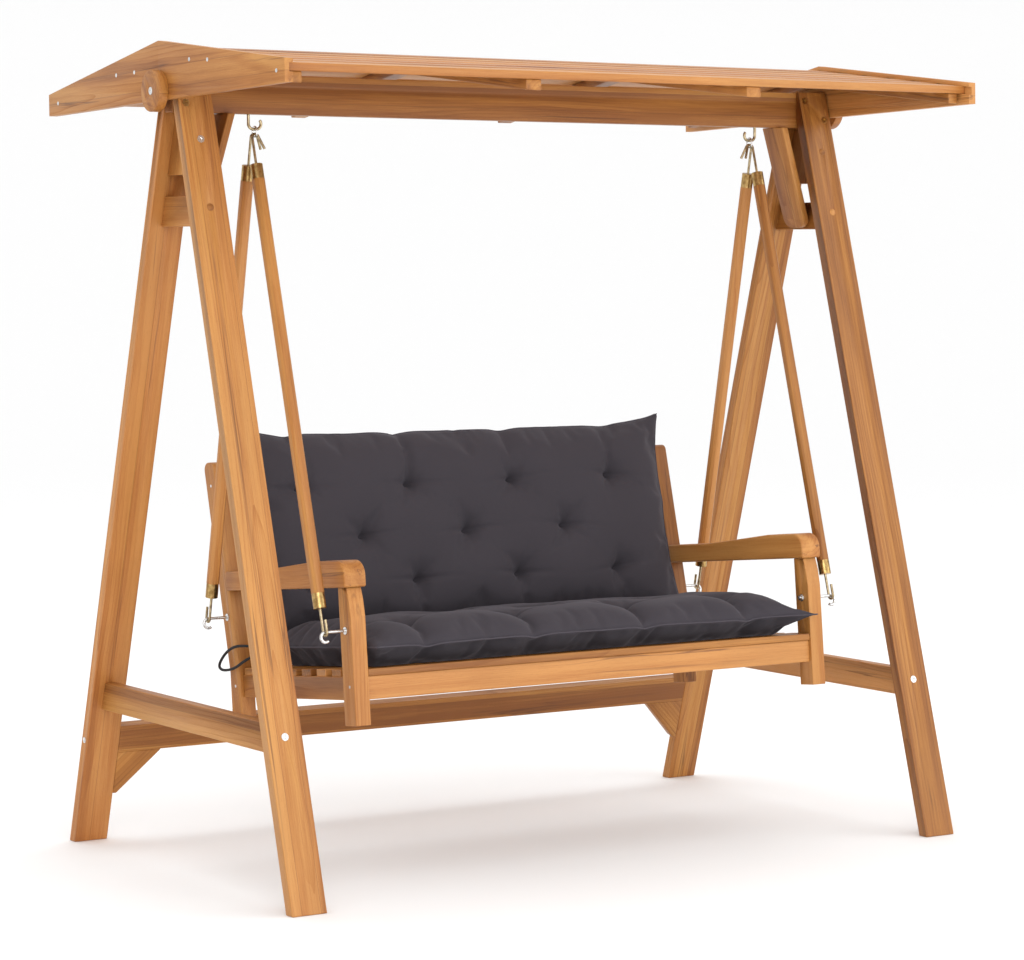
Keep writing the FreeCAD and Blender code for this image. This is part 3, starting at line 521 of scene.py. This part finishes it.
@dataclass(frozen=True)
class PadCloth:
    """Anthracite woven polyester, matt, with a fine plain weave; its underside is painted darker as
    painted shade, and its seam paler as a painted highlight.
    """

    warp: Colour = (0.049, 0.043, 0.051)
    weft: Colour = (0.037, 0.032, 0.039)
    sheen: Colour = (0.60, 0.56, 0.64)
    threads: float = 1250.0
    # How much painted shade darkens the underside, and how much painted highlight brightens the
    # seam.
    painted_shade_and_highlight: float = 0.42
    least_value: float = 0.84
    slub_share: float = 0.20
    fade_share: float = 0.16

    def build(self) -> bpy.types.Material:
        """Make the material.

        Returns:
            The finished cloth.
        """
        tree = Tree("pad_cloth")
        place = tree.attribute("weave").outputs["Vector"]
        split = tree.nodes.new("ShaderNodeSeparateXYZ")
        tree.join(place, split.inputs[0])
        turns = math.tau * self.threads / 2
        across = tree.math("SINE", tree.share(split.outputs["X"], turns))
        along = tree.math("SINE", tree.share(split.outputs["Y"], turns))
        over = tree.math("MULTIPLY", across, along)
        weave = tree.math("ADD", 0.5, tree.share(over, 0.5))
        slub = tree.noise(tree.mapping(place, (60.0, 900.0, 900.0)), 3.0, 0.6)
        fade = tree.noise(tree.mapping(place, (5.0, 5.0, 5.0)), 3.0, 0.5)
        shade = tree.nodes.new("ShaderNodeHueSaturation")
        tree.join(tree.mix(weave, self.warp, self.weft), shade.inputs["Color"])
        value = tree.math("ADD", self.least_value, tree.share(slub, self.slub_share))
        value = tree.math("ADD", value, tree.share(fade, self.fade_share))
        # The underside is painted darker than the face as painted shade, and the seam a little
        # paler as a painted highlight on its ridge.
        panel_shading = tree.math("SUBTRACT", 1.0, tree.share(split.outputs["Z"], self.painted_shade_and_highlight))
        tree.join(tree.math("MULTIPLY", value, panel_shading), shade.inputs["Value"])
        tree.give("Base Color", shade.outputs[0])
        tree.give("Roughness", 0.86)
        tree.give("Specular IOR Level", 0.22)
        tree.give("Sheen Weight", 0.12)
        tree.give("Sheen Roughness", 0.45)
        tree.give("Sheen Tint", (*self.sheen, 1.0))
        tree.bump(tree.math("ADD", weave, slub), 0.16, 0.0003)
        return tree.material


@dataclass(frozen=True)
class BlackElastic:
    """Matt black braided elastic."""

    hollow: Colour = (0.004, 0.004, 0.005)
    thread: Colour = (0.016, 0.015, 0.017)

    def build(self) -> bpy.types.Material:
        """Make the material.

        Returns:
            The finished elastic.
        """
        tree = Tree("black_elastic")
        place = tree.nodes.new("ShaderNodeTexCoord").outputs["Object"]
        braid = tree.noise(tree.mapping(place, (1400.0, 1400.0, 1400.0)), 2.0, 0.6)
        tree.give("Base Color", tree.mix(braid, self.hollow, self.thread))
        tree.give("Roughness", 0.7)
        tree.bump(braid, 0.4, 0.0004)
        return tree.material


BRASS_METAL = PlainMetal("aged_brass", (0.56, 0.38, 0.15), (0.30, 0.18, 0.065), 0.22)
BRONZE_METAL = PlainMetal("toned_zinc", (0.56, 0.46, 0.29), (0.27, 0.20, 0.11), 0.24)
ZINC_METAL = PlainMetal("bright_zinc", (0.82, 0.82, 0.81), (0.56, 0.56, 0.56), 0.20)


# -------------------- boards
@dataclass
class Boards:
    """The teak boards, each a softened copy of its solid with its own grain."""

    teak: bpy.types.Material
    edge: float = 0.0022
    edge_steps: int = 2
    sharp_angle: float = math.radians(30)
    smooth_angle: float = math.radians(38)
    seed: int = 7
    draws_apart: int = 1000
    shifts: Point = (9.0, 0.03, 0.01)
    upwards: Point = (0.31, 0.52, 0.79)
    glued_over: float = 0.061

    def copy_of(self, node: str) -> bpy.types.Object:
        """Copy a node's mesh, join its loose triangles and melt its flat faces.

        Args:
            node: The CAD node.

        Returns:
            The new object.
        """
        source = frame["nodes"][node]
        mesh = source.data.copy()
        piece = bpy.data.objects.new(node + "_wood", mesh)
        bpy.context.scene.collection.objects.link(piece)
        activate(piece)
        bpy.ops.object.mode_set(mode="EDIT")
        bpy.ops.mesh.select_all(action="SELECT")
        bpy.ops.mesh.remove_doubles(threshold=0.00002)
        bpy.ops.mesh.normals_make_consistent(inside=False)
        bpy.ops.mesh.dissolve_limited(angle_limit=math.radians(1.0))
        bpy.ops.object.mode_set(mode="OBJECT")
        return piece

    def lay_grain(self, piece: bpy.types.Object, number: int) -> None:
        """Write each board's own length, width and depth to the mesh, for the figure to follow.

        Args:
            piece: The copied boards.
            number: A number for this node, for its random draws.
        """
        draws = random.Random(self.seed * self.draws_apart + number)
        mesh = piece.data
        work = bmesh.new()
        work.from_mesh(mesh)
        work.verts.ensure_lookup_table()
        grain = [Vector((0.0, 0.0, 0.0))] * len(work.verts)
        tone = [0.0] * len(work.verts)
        glued = [0.0] * len(work.verts)
        seen: set[int] = set()
        for start in work.verts:
            if start.index in seen:
                continue
            island, queue = [], [start]
            seen.add(start.index)
            while queue:
                vert = queue.pop()
                island.append(vert)
                for edge in vert.link_edges:
                    other = edge.other_vert(vert)
                    if other.index not in seen:
                        seen.add(other.index)
                        queue.append(other)
            edges = {edge for vert in island for edge in vert.link_edges}
            faces = {face for vert in island for face in vert.link_faces}
            longest = max(edges, key=lambda edge: (round(edge.calc_length(), 5), -edge.index))
            along = (longest.verts[1].co - longest.verts[0].co).normalized()
            if along.dot(Vector(self.upwards)) < 0:
                along.negate()
            flats = [face for face in faces if abs(face.normal.dot(along)) < 0.3]
            widest = max(flats or faces, key=lambda face: (round(face.calc_area(), 7), -face.index))
            deep = (widest.normal - along * widest.normal.dot(along)).normalized()
            wide = deep.cross(along)
            centre = sum((vert.co for vert in island), Vector()) / len(island)
            shift = Vector([draws.uniform(-reach, reach) for reach in self.shifts])
            shade = draws.random()
            spread = [(vert.co - centre).dot(wide) for vert in island]
            broad = float(max(spread) - min(spread) > self.glued_over)
            for vert in island:
                glued[vert.index] = broad
                away = vert.co - centre
                own = Vector((away.dot(along), away.dot(wide), away.dot(deep)))
                grain[vert.index] = own + shift
                tone[vert.index] = shade
        work.free()
        layer = mesh.attributes.new("grain", "FLOAT_VECTOR", "POINT")
        layer.data.foreach_set("vector", [value for spot in grain for value in spot])
        for name, values in (("board", tone), ("glued", glued)):
            layer = mesh.attributes.new(name, "FLOAT", "POINT")
            layer.data.foreach_set("value", values)

    def soften(self, piece: bpy.types.Object) -> None:
        """Round the sharp edges a little.

        Args:
            piece: The copied boards.
        """
        bevel = piece.modifiers.new("softened", "BEVEL")
        bevel.width = self.edge
        bevel.segments = self.edge_steps
        bevel.limit_method = "ANGLE"
        bevel.angle_limit = self.sharp_angle
        finish_modifiers(piece)
        bpy.ops.object.shade_smooth_by_angle(angle=self.smooth_angle)

    def make(self, node: str, body: Body, number: int) -> None:
        """Build one node's boards.

        Args:
            node: The CAD node.
            body: The body it moves with.
            number: A number for its random draws.
        """
        piece = self.copy_of(node)
        self.lay_grain(piece, number)
        self.soften(piece)
        dress(piece, self.teak)
        settle(piece, body, Slot.TEAK, node)


# -------------------- cushions
@dataclass(frozen=True)
class Pull:
    """How a tuft draws the cloth in: a pit, or a crease that runs out from it."""

    depth: float
    width: float
    power: float

    def pit(self, away: float) -> float:
        """Its depth at a distance from the tuft."""
        return self.depth * hill(away, self.width, self.power)

    def crease(self, off: float, along: float, reach: float) -> float:
        """Its depth beside a crease's line, fading out along it."""
        return self.depth * hill(off, self.width) * hill(along, reach, self.power)


@dataclass
class TuftedPad:
    """A knife-edged cushion drawn in by rows of tufts, inflated by a cloth simulation.

    Its own X runs along the bench, its own Y away from the sitter's knees or upwards, and its own Z
    out of the boards that it lies against, which are at height 0.
    """

    # Panel numbers for the cloth: the underside gets painted shade, the seam a painted highlight.
    FACE: ClassVar[float] = 0.0
    SHADED_UNDERSIDE: ClassVar[float] = 1.0
    SEAM: ClassVar[float] = -1.0
    PITS: ClassVar[tuple[Pull, ...]] = (Pull(0.017, 0.0125, 1.1), Pull(0.006, 0.032, 1.5))
    LEVEL: ClassVar[Pull] = Pull(0.0085, 0.0055, 1.4)
    UPRIGHT: ClassVar[Pull] = Pull(0.0034, 0.0060, 1.4)
    SLANTED: ClassVar[Pull] = Pull(0.0022, 0.0075, 1.4)

    name: str
    node: str
    cloth: bpy.types.Material
    place: Matrix
    half_wide: float
    half_deep: float
    seam_height: float
    crown: float
    ear_wide: float
    ear_left: float
    ear_deep: float
    ear_power: float
    rows: tuple[tuple[float, tuple[float, ...]], ...]
    columns: tuple[float, ...]
    fill: float = 0.6
    step: float = 0.0088
    side_reach: float = 0.17
    side_power: float = 0.62
    edge_reach: float = 0.12
    edge_power: float = 0.55
    edge_waver: float = 0.0025
    side_waver: float = 0.0030
    seam_waver: float = 0.0035
    swell: float = 0.10
    tuft_depth: float = 0.30
    tuft_reach: float = 0.055
    tuft_limit: float = 0.2
    pull_limit: float = 0.16
    crease_skew: float = 0.10
    crease_reaches: Point = (0.058, 0.036, 0.034)
    lobe_depth: float = 0.40
    lobe_width: float = 0.014
    lobe_reach: float = 0.060
    broad_lobe: float = 0.4
    broad_lobe_width: float = 0.045
    broad_lobe_reach: float = 0.080
    notch: float = 0.010
    notch_width: float = 0.030
    seam_dip: float = 0.005
    seam_dip_width: float = 0.028
    curl: float = 0.075
    side_curl: float = 0.045
    curl_power: float = 1.15
    belly: float = 0.004
    held_at_tuft: float = 0.012
    held_below: float = 0.0015
    seam_hold: float = 0.8
    pressure: float = 4.0
    frames: int = 20
    cap: float = 0.007
    edge_gauge: float = 0.0034
    edge_margin: float = 0.02
    pit_floor: float = 0.75
    tie_half: Point = (0.0058, 0.0022, 0.0018)
    tie_lift: float = 0.0010
    seed: float = 0.0
    rim: list[int] = field(default_factory=list)

    def tufts(self) -> list[tuple[float, float]]:
        """Where each tuft is, in the pad's own X and Y."""
        return [(x, y) for y, xs in self.rows for x in xs]

    def outline(self, s: float, t: float) -> tuple[float, float]:
        """Half the width and half the depth there.

        Args:
            s: The place across, from -1 to 1.
            t: The place along, from -1 to 1.

        Returns:
            The half width at t and the half depth at s.
        """
        ear = self.ear_wide if s > 0 else self.ear_left
        wide = self.half_wide + ear * abs(t) ** self.ear_power
        deep = self.half_deep + self.ear_deep * abs(s) ** 9
        x = s * self.half_wide
        for column in self.columns:
            deep -= self.notch * hill(x - column, self.notch_width)
        deep += self.edge_waver * smooth_noise(Vector((x * 9.0, 3.0 + self.seed, 0.0)))
        wide += self.side_waver * smooth_noise(Vector((t * 4.0, 8.0 + self.seed, 0.0)))
        return wide, deep

    def fullness(self, x: float, y: float, to_side: float, to_edge: float) -> float:
        """How full the pad is at a point, from 0 at the seam to about 1.

        Args:
            x: The point's own X.
            y: The point's own Y.
            to_side: Its distance from the nearer end.
            to_edge: Its distance from the nearer long edge.

        Returns:
            The share of the full height there.
        """
        quarter = math.pi / 2
        full = math.sin(min(to_side / self.side_reach, 1.0) * quarter) ** self.side_power
        full *= math.sin(min(to_edge / self.edge_reach, 1.0) * quarter) ** self.edge_power
        lobes = ((self.lobe_depth, self.lobe_width, self.lobe_reach),
                 (self.broad_lobe * self.lobe_depth, self.broad_lobe_width, self.broad_lobe_reach))
        for column in self.columns:
            for depth, width, reach in lobes:
                full *= 1.0 - depth * hill(x - column, width) * hill(to_edge, reach, 1.0)
        for tuft_x, tuft_y in self.tufts():
            away = math.hypot(x - tuft_x, y - tuft_y)
            if away <= self.tuft_limit:
                full *= 1.0 - self.tuft_depth * hill(away, self.tuft_reach, 1.4)
        return full

    def point(self, s: float, t: float, front: bool) -> Vector:
        """A point of the pad's skin before it is inflated.

        Args:
            s: The place across, from -1 to 1.
            t: The place along, from -1 to 1.
            front: Whether it is on the outer skin.

        Returns:
            The point, in the pad's own frame.
        """
        wide, deep = self.outline(s, t)
        x, y = s * wide, t * deep
        full = self.fullness(x, y, (1.0 - abs(s)) * wide, (1.0 - abs(t)) * deep)
        seam = self.seam_height
        for column in self.columns:
            seam -= self.seam_dip * hill(x - column, self.seam_dip_width) * abs(t) ** 6
        seam += self.seam_waver * smooth_noise(Vector((x * 5.0, y * 5.0, self.seed)))
        if front:
            place = Vector((x * 6.0, y * 7.0, 5.0 + self.seed))
            swell = 1.0 + self.swell * smooth_noise(place)
            return Vector((x, y, seam + self.crown * full * swell))
        rise = min((1.0 - abs(t)) * deep / self.curl, (1.0 - abs(s)) * wide / self.side_curl)
        low = seam * (1.0 - rise ** self.curl_power)
        return Vector((x, y, max(low - self.belly * full, 0.0)))

    def skin(self) -> bpy.types.Object:
        """Sew the two skins together at the seam.

        Returns:
            The closed pad before it is inflated.
        """
        across = 2 * round(self.half_wide / self.step)
        along = 2 * round(self.half_deep / self.step)
        work = bmesh.new()
        weave = work.verts.layers.float_vector.new("weave")
        sides: list[list[list[bmesh.types.BMVert]]] = []
        for front in (True, False):
            rows = []
            for j in range(along + 1):
                row = []
                for i in range(across + 1):
                    rim = i in (0, across) or j in (0, along)
                    if rim and not front:
                        row.append(sides[0][j][i])
                        continue
                    s, t = 2 * i / across - 1, 2 * j / along - 1
                    vert = work.verts.new(self.point(s, t, front))
                    # The underside panel is marked for painted shade.
                    panel_shading = self.FACE if front else self.SHADED_UNDERSIDE
                    vert[weave] = Vector((vert.co.x, vert.co.y, panel_shading))
                    row.append(vert)
                rows.append(row)
            sides.append(rows)
        for front, rows in zip((True, False), sides):
            for j in range(along):
                for i in range(across):
                    ring = [rows[j][i], rows[j][i + 1], rows[j + 1][i + 1], rows[j + 1][i]]
                    work.faces.new(ring if front else ring[::-1])
        work.verts.index_update()
        front = sides[0]
        loop = [*front[0][:-1], *(row[-1] for row in front[:-1]),
                *front[-1][:0:-1], *(row[0] for row in front[:0:-1])]
        self.rim = [vert.index for vert in loop]
        crease = work.edges.layers.float.new("crease_edge")
        for vert, after in zip(loop, loop[1:] + loop[:1]):
            work.edges.get((vert, after))[crease] = 1.0
        mesh = bpy.data.meshes.new(self.name)
        work.to_mesh(mesh)
        work.free()
        pad = bpy.data.objects.new(self.name, mesh)
        bpy.context.scene.collection.objects.link(pad)
        return pad

    def inflate(self, pad: bpy.types.Object) -> None:
        """Blow the pad up a little as cloth, held at its tufts, its seam and its resting face.

        Args:
            pad: The closed pad.
        """
        start = [vert.co.copy() for vert in pad.data.vertices]
        hold = pad.vertex_groups.new(name="hold")
        rim = set(self.rim)
        for vert in pad.data.vertices:
            near = min(math.hypot(vert.co.x - x, vert.co.y - y) for x, y in self.tufts())
            if near < self.held_at_tuft or vert.co.z < self.held_below:
                hold.add([vert.index], 1.0, "REPLACE")
            elif vert.index in rim:
                hold.add([vert.index], self.seam_hold, "REPLACE")
        cloth = pad.modifiers.new("filling", "CLOTH")
        settings = cloth.settings
        settings.quality = 6
        settings.mass = 0.25
        settings.tension_stiffness = 18.0
        settings.compression_stiffness = 14.0
        settings.shear_stiffness = 6.0
        settings.bending_stiffness = 0.35
        settings.use_pressure = True
        settings.uniform_pressure_force = self.pressure
        settings.shrink_min = -0.035
        settings.vertex_group_mass = "hold"
        settings.effector_weights.gravity = 0.0
        cloth.collision_settings.use_collision = False
        scene = bpy.context.scene
        scene.frame_start, scene.frame_end = 1, self.frames
        for moment in range(1, self.frames + 1):
            scene.frame_set(moment)
        finish_modifiers(pad)
        scene.frame_set(1)
        for vert, home in zip(pad.data.vertices, start):
            move = vert.co - home
            if move.length > self.cap:
                vert.co = home + move * (self.cap / move.length)
            vert.co.z = max(vert.co.z, 0.0)
        pad.vertex_groups.clear()

    def pinch(self, x: float, y: float) -> float:
        """How far the tufts pull the cloth in at a point, with the creases that run out from each.

        Args:
            x: The point's own X.
            y: The point's own Y.

        Returns:
            The depth in metres.
        """
        depth = 0.0
        for number, (tuft_x, tuft_y) in enumerate(self.tufts()):
            dx, dy = x - tuft_x, y - tuft_y
            away = math.hypot(dx, dy)
            if away > self.pull_limit:
                continue
            skew = self.crease_skew * math.sin(2.3 * number + self.seed)
            depth += sum(pull.pit(away) for pull in self.PITS)
            level, upright, slanted = self.crease_reaches
            depth += self.LEVEL.crease(dy - skew * dx, dx, level)
            depth += self.UPRIGHT.crease(dx + skew * dy, dy, upright)
            depth += self.SLANTED.crease(dx - dy, away, slanted)
        return depth

    def sink_tufts(self, pad: bpy.types.Object) -> None:
        """Pull the tufts and their creases into the outer skin.

        Args:
            pad: The inflated and smoothed pad.
        """
        floor = self.seam_height * self.pit_floor
        wide, deep = self.half_wide - self.edge_margin, self.half_deep - self.edge_margin
        for vert in pad.data.vertices:
            x, y, z = vert.co
            if z > floor and abs(y) < deep and abs(x) < wide:
                vert.co.z = max(z - self.pinch(x, y), floor)

    def seam_cord(self, pad: bpy.types.Object) -> bpy.types.Object:
        """Sew a thin pressed edge along the seam.

        Args:
            pad: The inflated pad.

        Returns:
            The edge, as a mesh.
        """
        points = [pad.data.vertices[index].co.copy() for index in self.rim]
        count = len(points)
        points = [(points[number - 1] + points[number] * 2 + points[(number + 1) % count]) / 4
                  for number in range(count)]
        path = bpy.data.curves.new(self.name + "_edge", "CURVE")
        path.dimensions = "3D"
        path.bevel_depth = self.edge_gauge / 2
        path.bevel_resolution = 2
        line = path.splines.new("POLY")
        line.points.add(count - 1)
        for knot, spot in zip(line.points, points):
            knot.co = (*spot, 1.0)
        line.use_cyclic_u = True
        edge = bpy.data.objects.new(self.name + "_edge", path)
        bpy.context.scene.collection.objects.link(edge)
        activate(edge)
        bpy.ops.object.convert(target="MESH")
        # The seam is marked for a painted highlight along its ridge.
        write_weave(edge, [value for vert in edge.data.vertices
                           for value in (vert.co.x, vert.co.y, self.SEAM)])
        return edge

    def tie(self, spot: Vector, turn: float) -> bpy.types.Object:
        """Make the short knotted thread at the bottom of a tuft.

        Args:
            spot: Its place in the pad's own frame.
            turn: Which way it lies.

        Returns:
            The thread.
        """
        deselect()
        bpy.ops.mesh.primitive_uv_sphere_add(segments=12, ring_count=8, radius=1.0, location=spot,
                                             rotation=(0.0, 0.0, turn), scale=self.tie_half)
        return bpy.context.active_object

    def make(self, body: Body) -> None:
        """Build the whole pad and fix it to its body.

        Args:
            body: The body it moves with.
        """
        pad = self.skin()
        self.inflate(pad)
        edge = self.seam_cord(pad)
        finer = pad.modifiers.new("finer", "SUBSURF")
        finer.levels = finer.render_levels = 1
        finish_modifiers(pad)
        self.sink_tufts(pad)
        skin = pad.data.vertices
        ties = []
        for number, (x, y) in enumerate(self.tufts()):
            low = min((vert.co for vert in skin if vert.co.z > self.seam_height * 0.6),
                      key=lambda co: math.hypot(co.x - x, co.y - y))
            ties.append(self.tie(Vector((x, y, low.z + self.tie_lift)), 0.5 * number))
        activate(ties[0])
        for thread in ties:
            thread.select_set(True)
        bpy.ops.object.join()
        threads = bpy.context.active_object
        threads.name = self.name + "_tufts"
        bpy.ops.object.transform_apply(location=True, rotation=True, scale=True)
        write_weave(threads, [value for vert in threads.data.vertices for value in vert.co])
        for piece in (pad, edge, threads):
            piece.matrix_world = self.place
            freeze(piece)
            bpy.ops.object.shade_smooth()
            dress(piece, self.cloth)
            settle(piece, body, Slot.CLOTH, *((self.node,) if piece is pad else ()))


@dataclass
class ElasticLoop:
    """The black elastic from the seat pad's rear left corner round the rear post."""

    gauge: float = 0.0066
    start: Point = (-0.6060, 0.1200, 0.4840)
    run: tuple[Point, ...] = (
        (-0.630, 0.112, 0.489), (-0.652, 0.122, 0.492), (-0.6665, 0.150, 0.490),
        (-0.6685, 0.186, 0.479), (-0.6690, 0.218, 0.459), (-0.6690, 0.2375, 0.437),
        (-0.6688, 0.2260, 0.4275), (-0.6685, 0.192, 0.4305), (-0.6680, 0.156, 0.441),
        (-0.6640, 0.128, 0.456), (-0.6480, 0.1150, 0.468), (-0.6280, 0.1120, 0.4745),
        (-0.6080, 0.1180, 0.4765))
    smoothing: int = 6

    def line(self) -> list[Vector]:
        """The smooth line through the loop's points.

        Returns:
            Points close together along it.
        """
        knots = [Vector(spot) for spot in (self.start, *self.run)]
        knots = [knots[0] * 2 - knots[1], *knots, knots[-1] * 2 - knots[-2]]
        line = []
        for before, here, there, after in zip(knots, knots[1:], knots[2:], knots[3:]):
            for step in range(self.smoothing):
                t = step / self.smoothing
                line.append(0.5 * (2 * here + (there - before) * t
                                   + (2 * before - 5 * here + 4 * there - after) * t ** 2
                                   + (3 * here - before - 3 * there + after) * t ** 3))
        return [*line, knots[-2]]

    def make(self, body: Body) -> None:
        """Build the loop.

        Args:
            body: The body it moves with.
        """
        line = self.line()
        path = bpy.data.curves.new("elastic_loop", "CURVE")
        path.dimensions = "3D"
        path.bevel_depth = self.gauge / 2
        path.bevel_resolution = 3
        path.use_fill_caps = True
        strand = path.splines.new("POLY")
        strand.points.add(len(line) - 1)
        for knot, spot in zip(strand.points, line):
            knot.co = (*spot, 1.0)
        loop = bpy.data.objects.new("elastic_loop", path)
        bpy.context.scene.collection.objects.link(loop)
        dress(loop, BlackElastic().build())
        settle(loop, body, Slot.CLOTH)


def seat_pad(cloth: bpy.types.Material) -> TuftedPad:
    """The cushion on the seat.

    Args:
        cloth: Its material.

    Returns:
        The pad, ready to make.
    """
    four = (-0.452, -0.165, 0.142, 0.432)
    three = (-0.307, -0.011, 0.286)
    place = BENCH @ Matrix.Translation((-0.010, 0.240, 0.1244))
    return TuftedPad("seat_pad", "seat_cushion", cloth, place,
                     half_wide=0.602, half_deep=0.252, seam_height=0.046, crown=0.058,
                     ear_wide=0.034, ear_left=-0.006, ear_deep=0.014, ear_power=13.0,
                     rows=((-0.135, four), (-0.005, three), (0.125, four)), columns=four,
                     side_reach=0.12)


def back_pad(cloth: bpy.types.Material) -> TuftedPad:
    """The cushion against the back.

    Args:
        cloth: Its material.

    Returns:
        The pad, ready to make.
    """
    four = (-0.465, -0.165, 0.129, 0.418)
    low_four = (-0.470, -0.174, 0.118, 0.407)
    three = (-0.309, -0.019, 0.264)
    upright = Matrix(((1.0, 0.0, 0.0, 0.0), (0.0, 0.0, -1.0, -0.0125),
                      (0.0, 1.0, 0.0, 0.314), (0.0, 0.0, 0.0, 1.0)))
    return TuftedPad("back_pad", "back_cushion", cloth, BACK @ upright,
                     half_wide=0.590, half_deep=0.233, seam_height=0.046, crown=0.048,
                     ear_wide=0.028, ear_left=0.016, ear_deep=0.026, ear_power=4.0,
                     rows=((0.101, four), (-0.020, three), (-0.133, low_four)), columns=four,
                     seed=3.7, notch=0.0045, lobe_depth=0.05)


# -------------------- stage
@dataclass(frozen=True)
class Lamp:
    """A soft square lamp that faces the middle of the object."""

    name: str
    place: Point
    span: float
    power: float
    aim: Point = (0.0, 0.0, 0.8)

    def hang(self) -> None:
        """Hang the lamp in its place."""
        lamp = bpy.data.lights.new(self.name, "AREA")
        lamp.shape = "SQUARE"
        lamp.size = self.span
        lamp.energy = self.power
        holder = bpy.data.objects.new(self.name, lamp)
        bpy.context.scene.collection.objects.link(holder)
        away = Vector(self.aim) - Vector(self.place)
        holder.location = self.place
        holder.rotation_euler = away.to_track_quat("-Z", "Y").to_euler()


@dataclass
class Stage:
    """The floor, the lights and the camera."""

    floor: Colour = (0.93, 0.93, 0.93)
    floor_radius: float = 14.0
    floor_drop: float = 0.0005
    wall_steps: int = 8
    wall_rise: float = 0.88
    wall_spread: float = 0.10
    sky: float = 1.06
    lamps: tuple[Lamp, ...] = (Lamp("key", (-3.4, -5.6, 3.4), 3.4, 120.0),
                               Lamp("low", (1.0, -7.0, 0.7), 3.0, 110.0),
                               Lamp("fill", (5.0, -4.2, 2.6), 4.0, 60.0),
                               Lamp("top", (0.6, 1.0, 5.2), 4.0, 60.0))
    camera_place: Point = (-4.2457, -6.5211, 1.4033)
    yaw: float = math.radians(-33.03)
    pitch: float = math.radians(86.006)
    lens: float = 115.02
    film_width: float = 36.0
    sight: float = 100.0

    def build(self) -> None:
        """Make the whole stage."""
        self.lay_floor()
        self.light_sky()
        for lamp in self.lamps:
            lamp.hang()
        self.set_camera()

    def lay_floor(self) -> None:
        """Lay a plain pale floor that sweeps up into a wall far away on every side."""
        deselect()
        bpy.ops.mesh.primitive_circle_add(vertices=96, radius=self.floor_radius, fill_type="NGON",
                                          location=(0.0, 0.0, -self.floor_drop))
        ground = bpy.context.active_object
        ground.name = "studio_floor"
        bpy.ops.object.mode_set(mode="EDIT")
        bpy.ops.mesh.select_all(action="SELECT")
        bpy.ops.mesh.select_mode(type="FACE")
        for number in range(1, self.wall_steps + 1):
            angle = number * math.pi / 18
            bpy.ops.mesh.extrude_region_move(
                TRANSFORM_OT_translate={"value": (0.0, 0.0, self.wall_rise * math.sin(angle))})
            grow = 1.0 + self.wall_spread * math.cos(angle)
            bpy.ops.transform.resize(value=(grow, grow, 1.0))
        bpy.ops.mesh.delete(type="FACE")
        bpy.ops.object.mode_set(mode="OBJECT")
        bpy.ops.object.shade_smooth()
        tree = Tree("studio_floor")
        tree.give("Base Color", (*self.floor, 1.0))
        tree.give("Roughness", 0.9)
        tree.give("Specular IOR Level", 0.1)
        dress(ground, tree.material)

    def light_sky(self) -> None:
        """Fill the surroundings with an even white light, and show colours as they are."""
        bpy.context.scene.view_settings.view_transform = "Standard"
        world = bpy.data.worlds.new("studio")
        bpy.context.scene.world = world
        world.use_nodes = True
        shade = world.node_tree.nodes["Background"]
        shade.inputs["Color"].default_value = (*WHITE, 1.0)
        shade.inputs["Strength"].default_value = self.sky

    def set_camera(self) -> None:
        """Set the camera at its viewing angle."""
        eye = bpy.data.cameras.new("studio_camera")
        eye.lens = self.lens
        eye.sensor_width = self.film_width
        eye.clip_end = self.sight
        holder = bpy.data.objects.new("studio_camera", eye)
        bpy.context.scene.collection.objects.link(holder)
        holder.location = self.camera_place
        holder.rotation_euler = (self.pitch, 0.0, self.yaw)
        bpy.context.scene.camera = holder


METAL_NODES: tuple[tuple[PlainMetal, tuple[str, ...]], ...] = (
    (BRASS_METAL, ("beam_connector_bolts", "rod_ferrules")),
    (BRONZE_METAL, ("beam_hook_left", "beam_hook_right", "beam_hook_nuts", "rod_hooks")),
    (ZINC_METAL, ("frame_screws", "pivot_bolts", "gable_screws", "hanger_link_left",
                  "hanger_link_right", "bench_hook_bolts", "bench_hook_nuts", "bench_screws")),
)


def main() -> None:
    """Build every piece around the frame."""
    logging.basicConfig(level=logging.INFO, format="%(message)s")
    teak = OiledTeak().build()
    cloth = PadCloth().build()
    boards = Boards(teak)
    slots = {part["node"]: part["material_slot"] for part in frame["record"]["subparts"]}
    for metal, nodes in METAL_NODES:
        finish = metal.build()
        for node in nodes:
            dress(frame["nodes"][node], finish)
    homes = {node: Body(body) for body, nodes in frame["record"]["behaviour"]["bodies"].items()
             for node in nodes}
    for number, node in enumerate(sorted(frame["nodes"])):
        if slots[node] == Slot.TEAK.value:
            boards.make(node, homes[node], number)
    for pad in (seat_pad(cloth), back_pad(cloth)):
        pad.make(Body.BENCH)
    ElasticLoop().make(Body.BENCH)
    Stage().build()


if __name__ == "__main__":
    main()
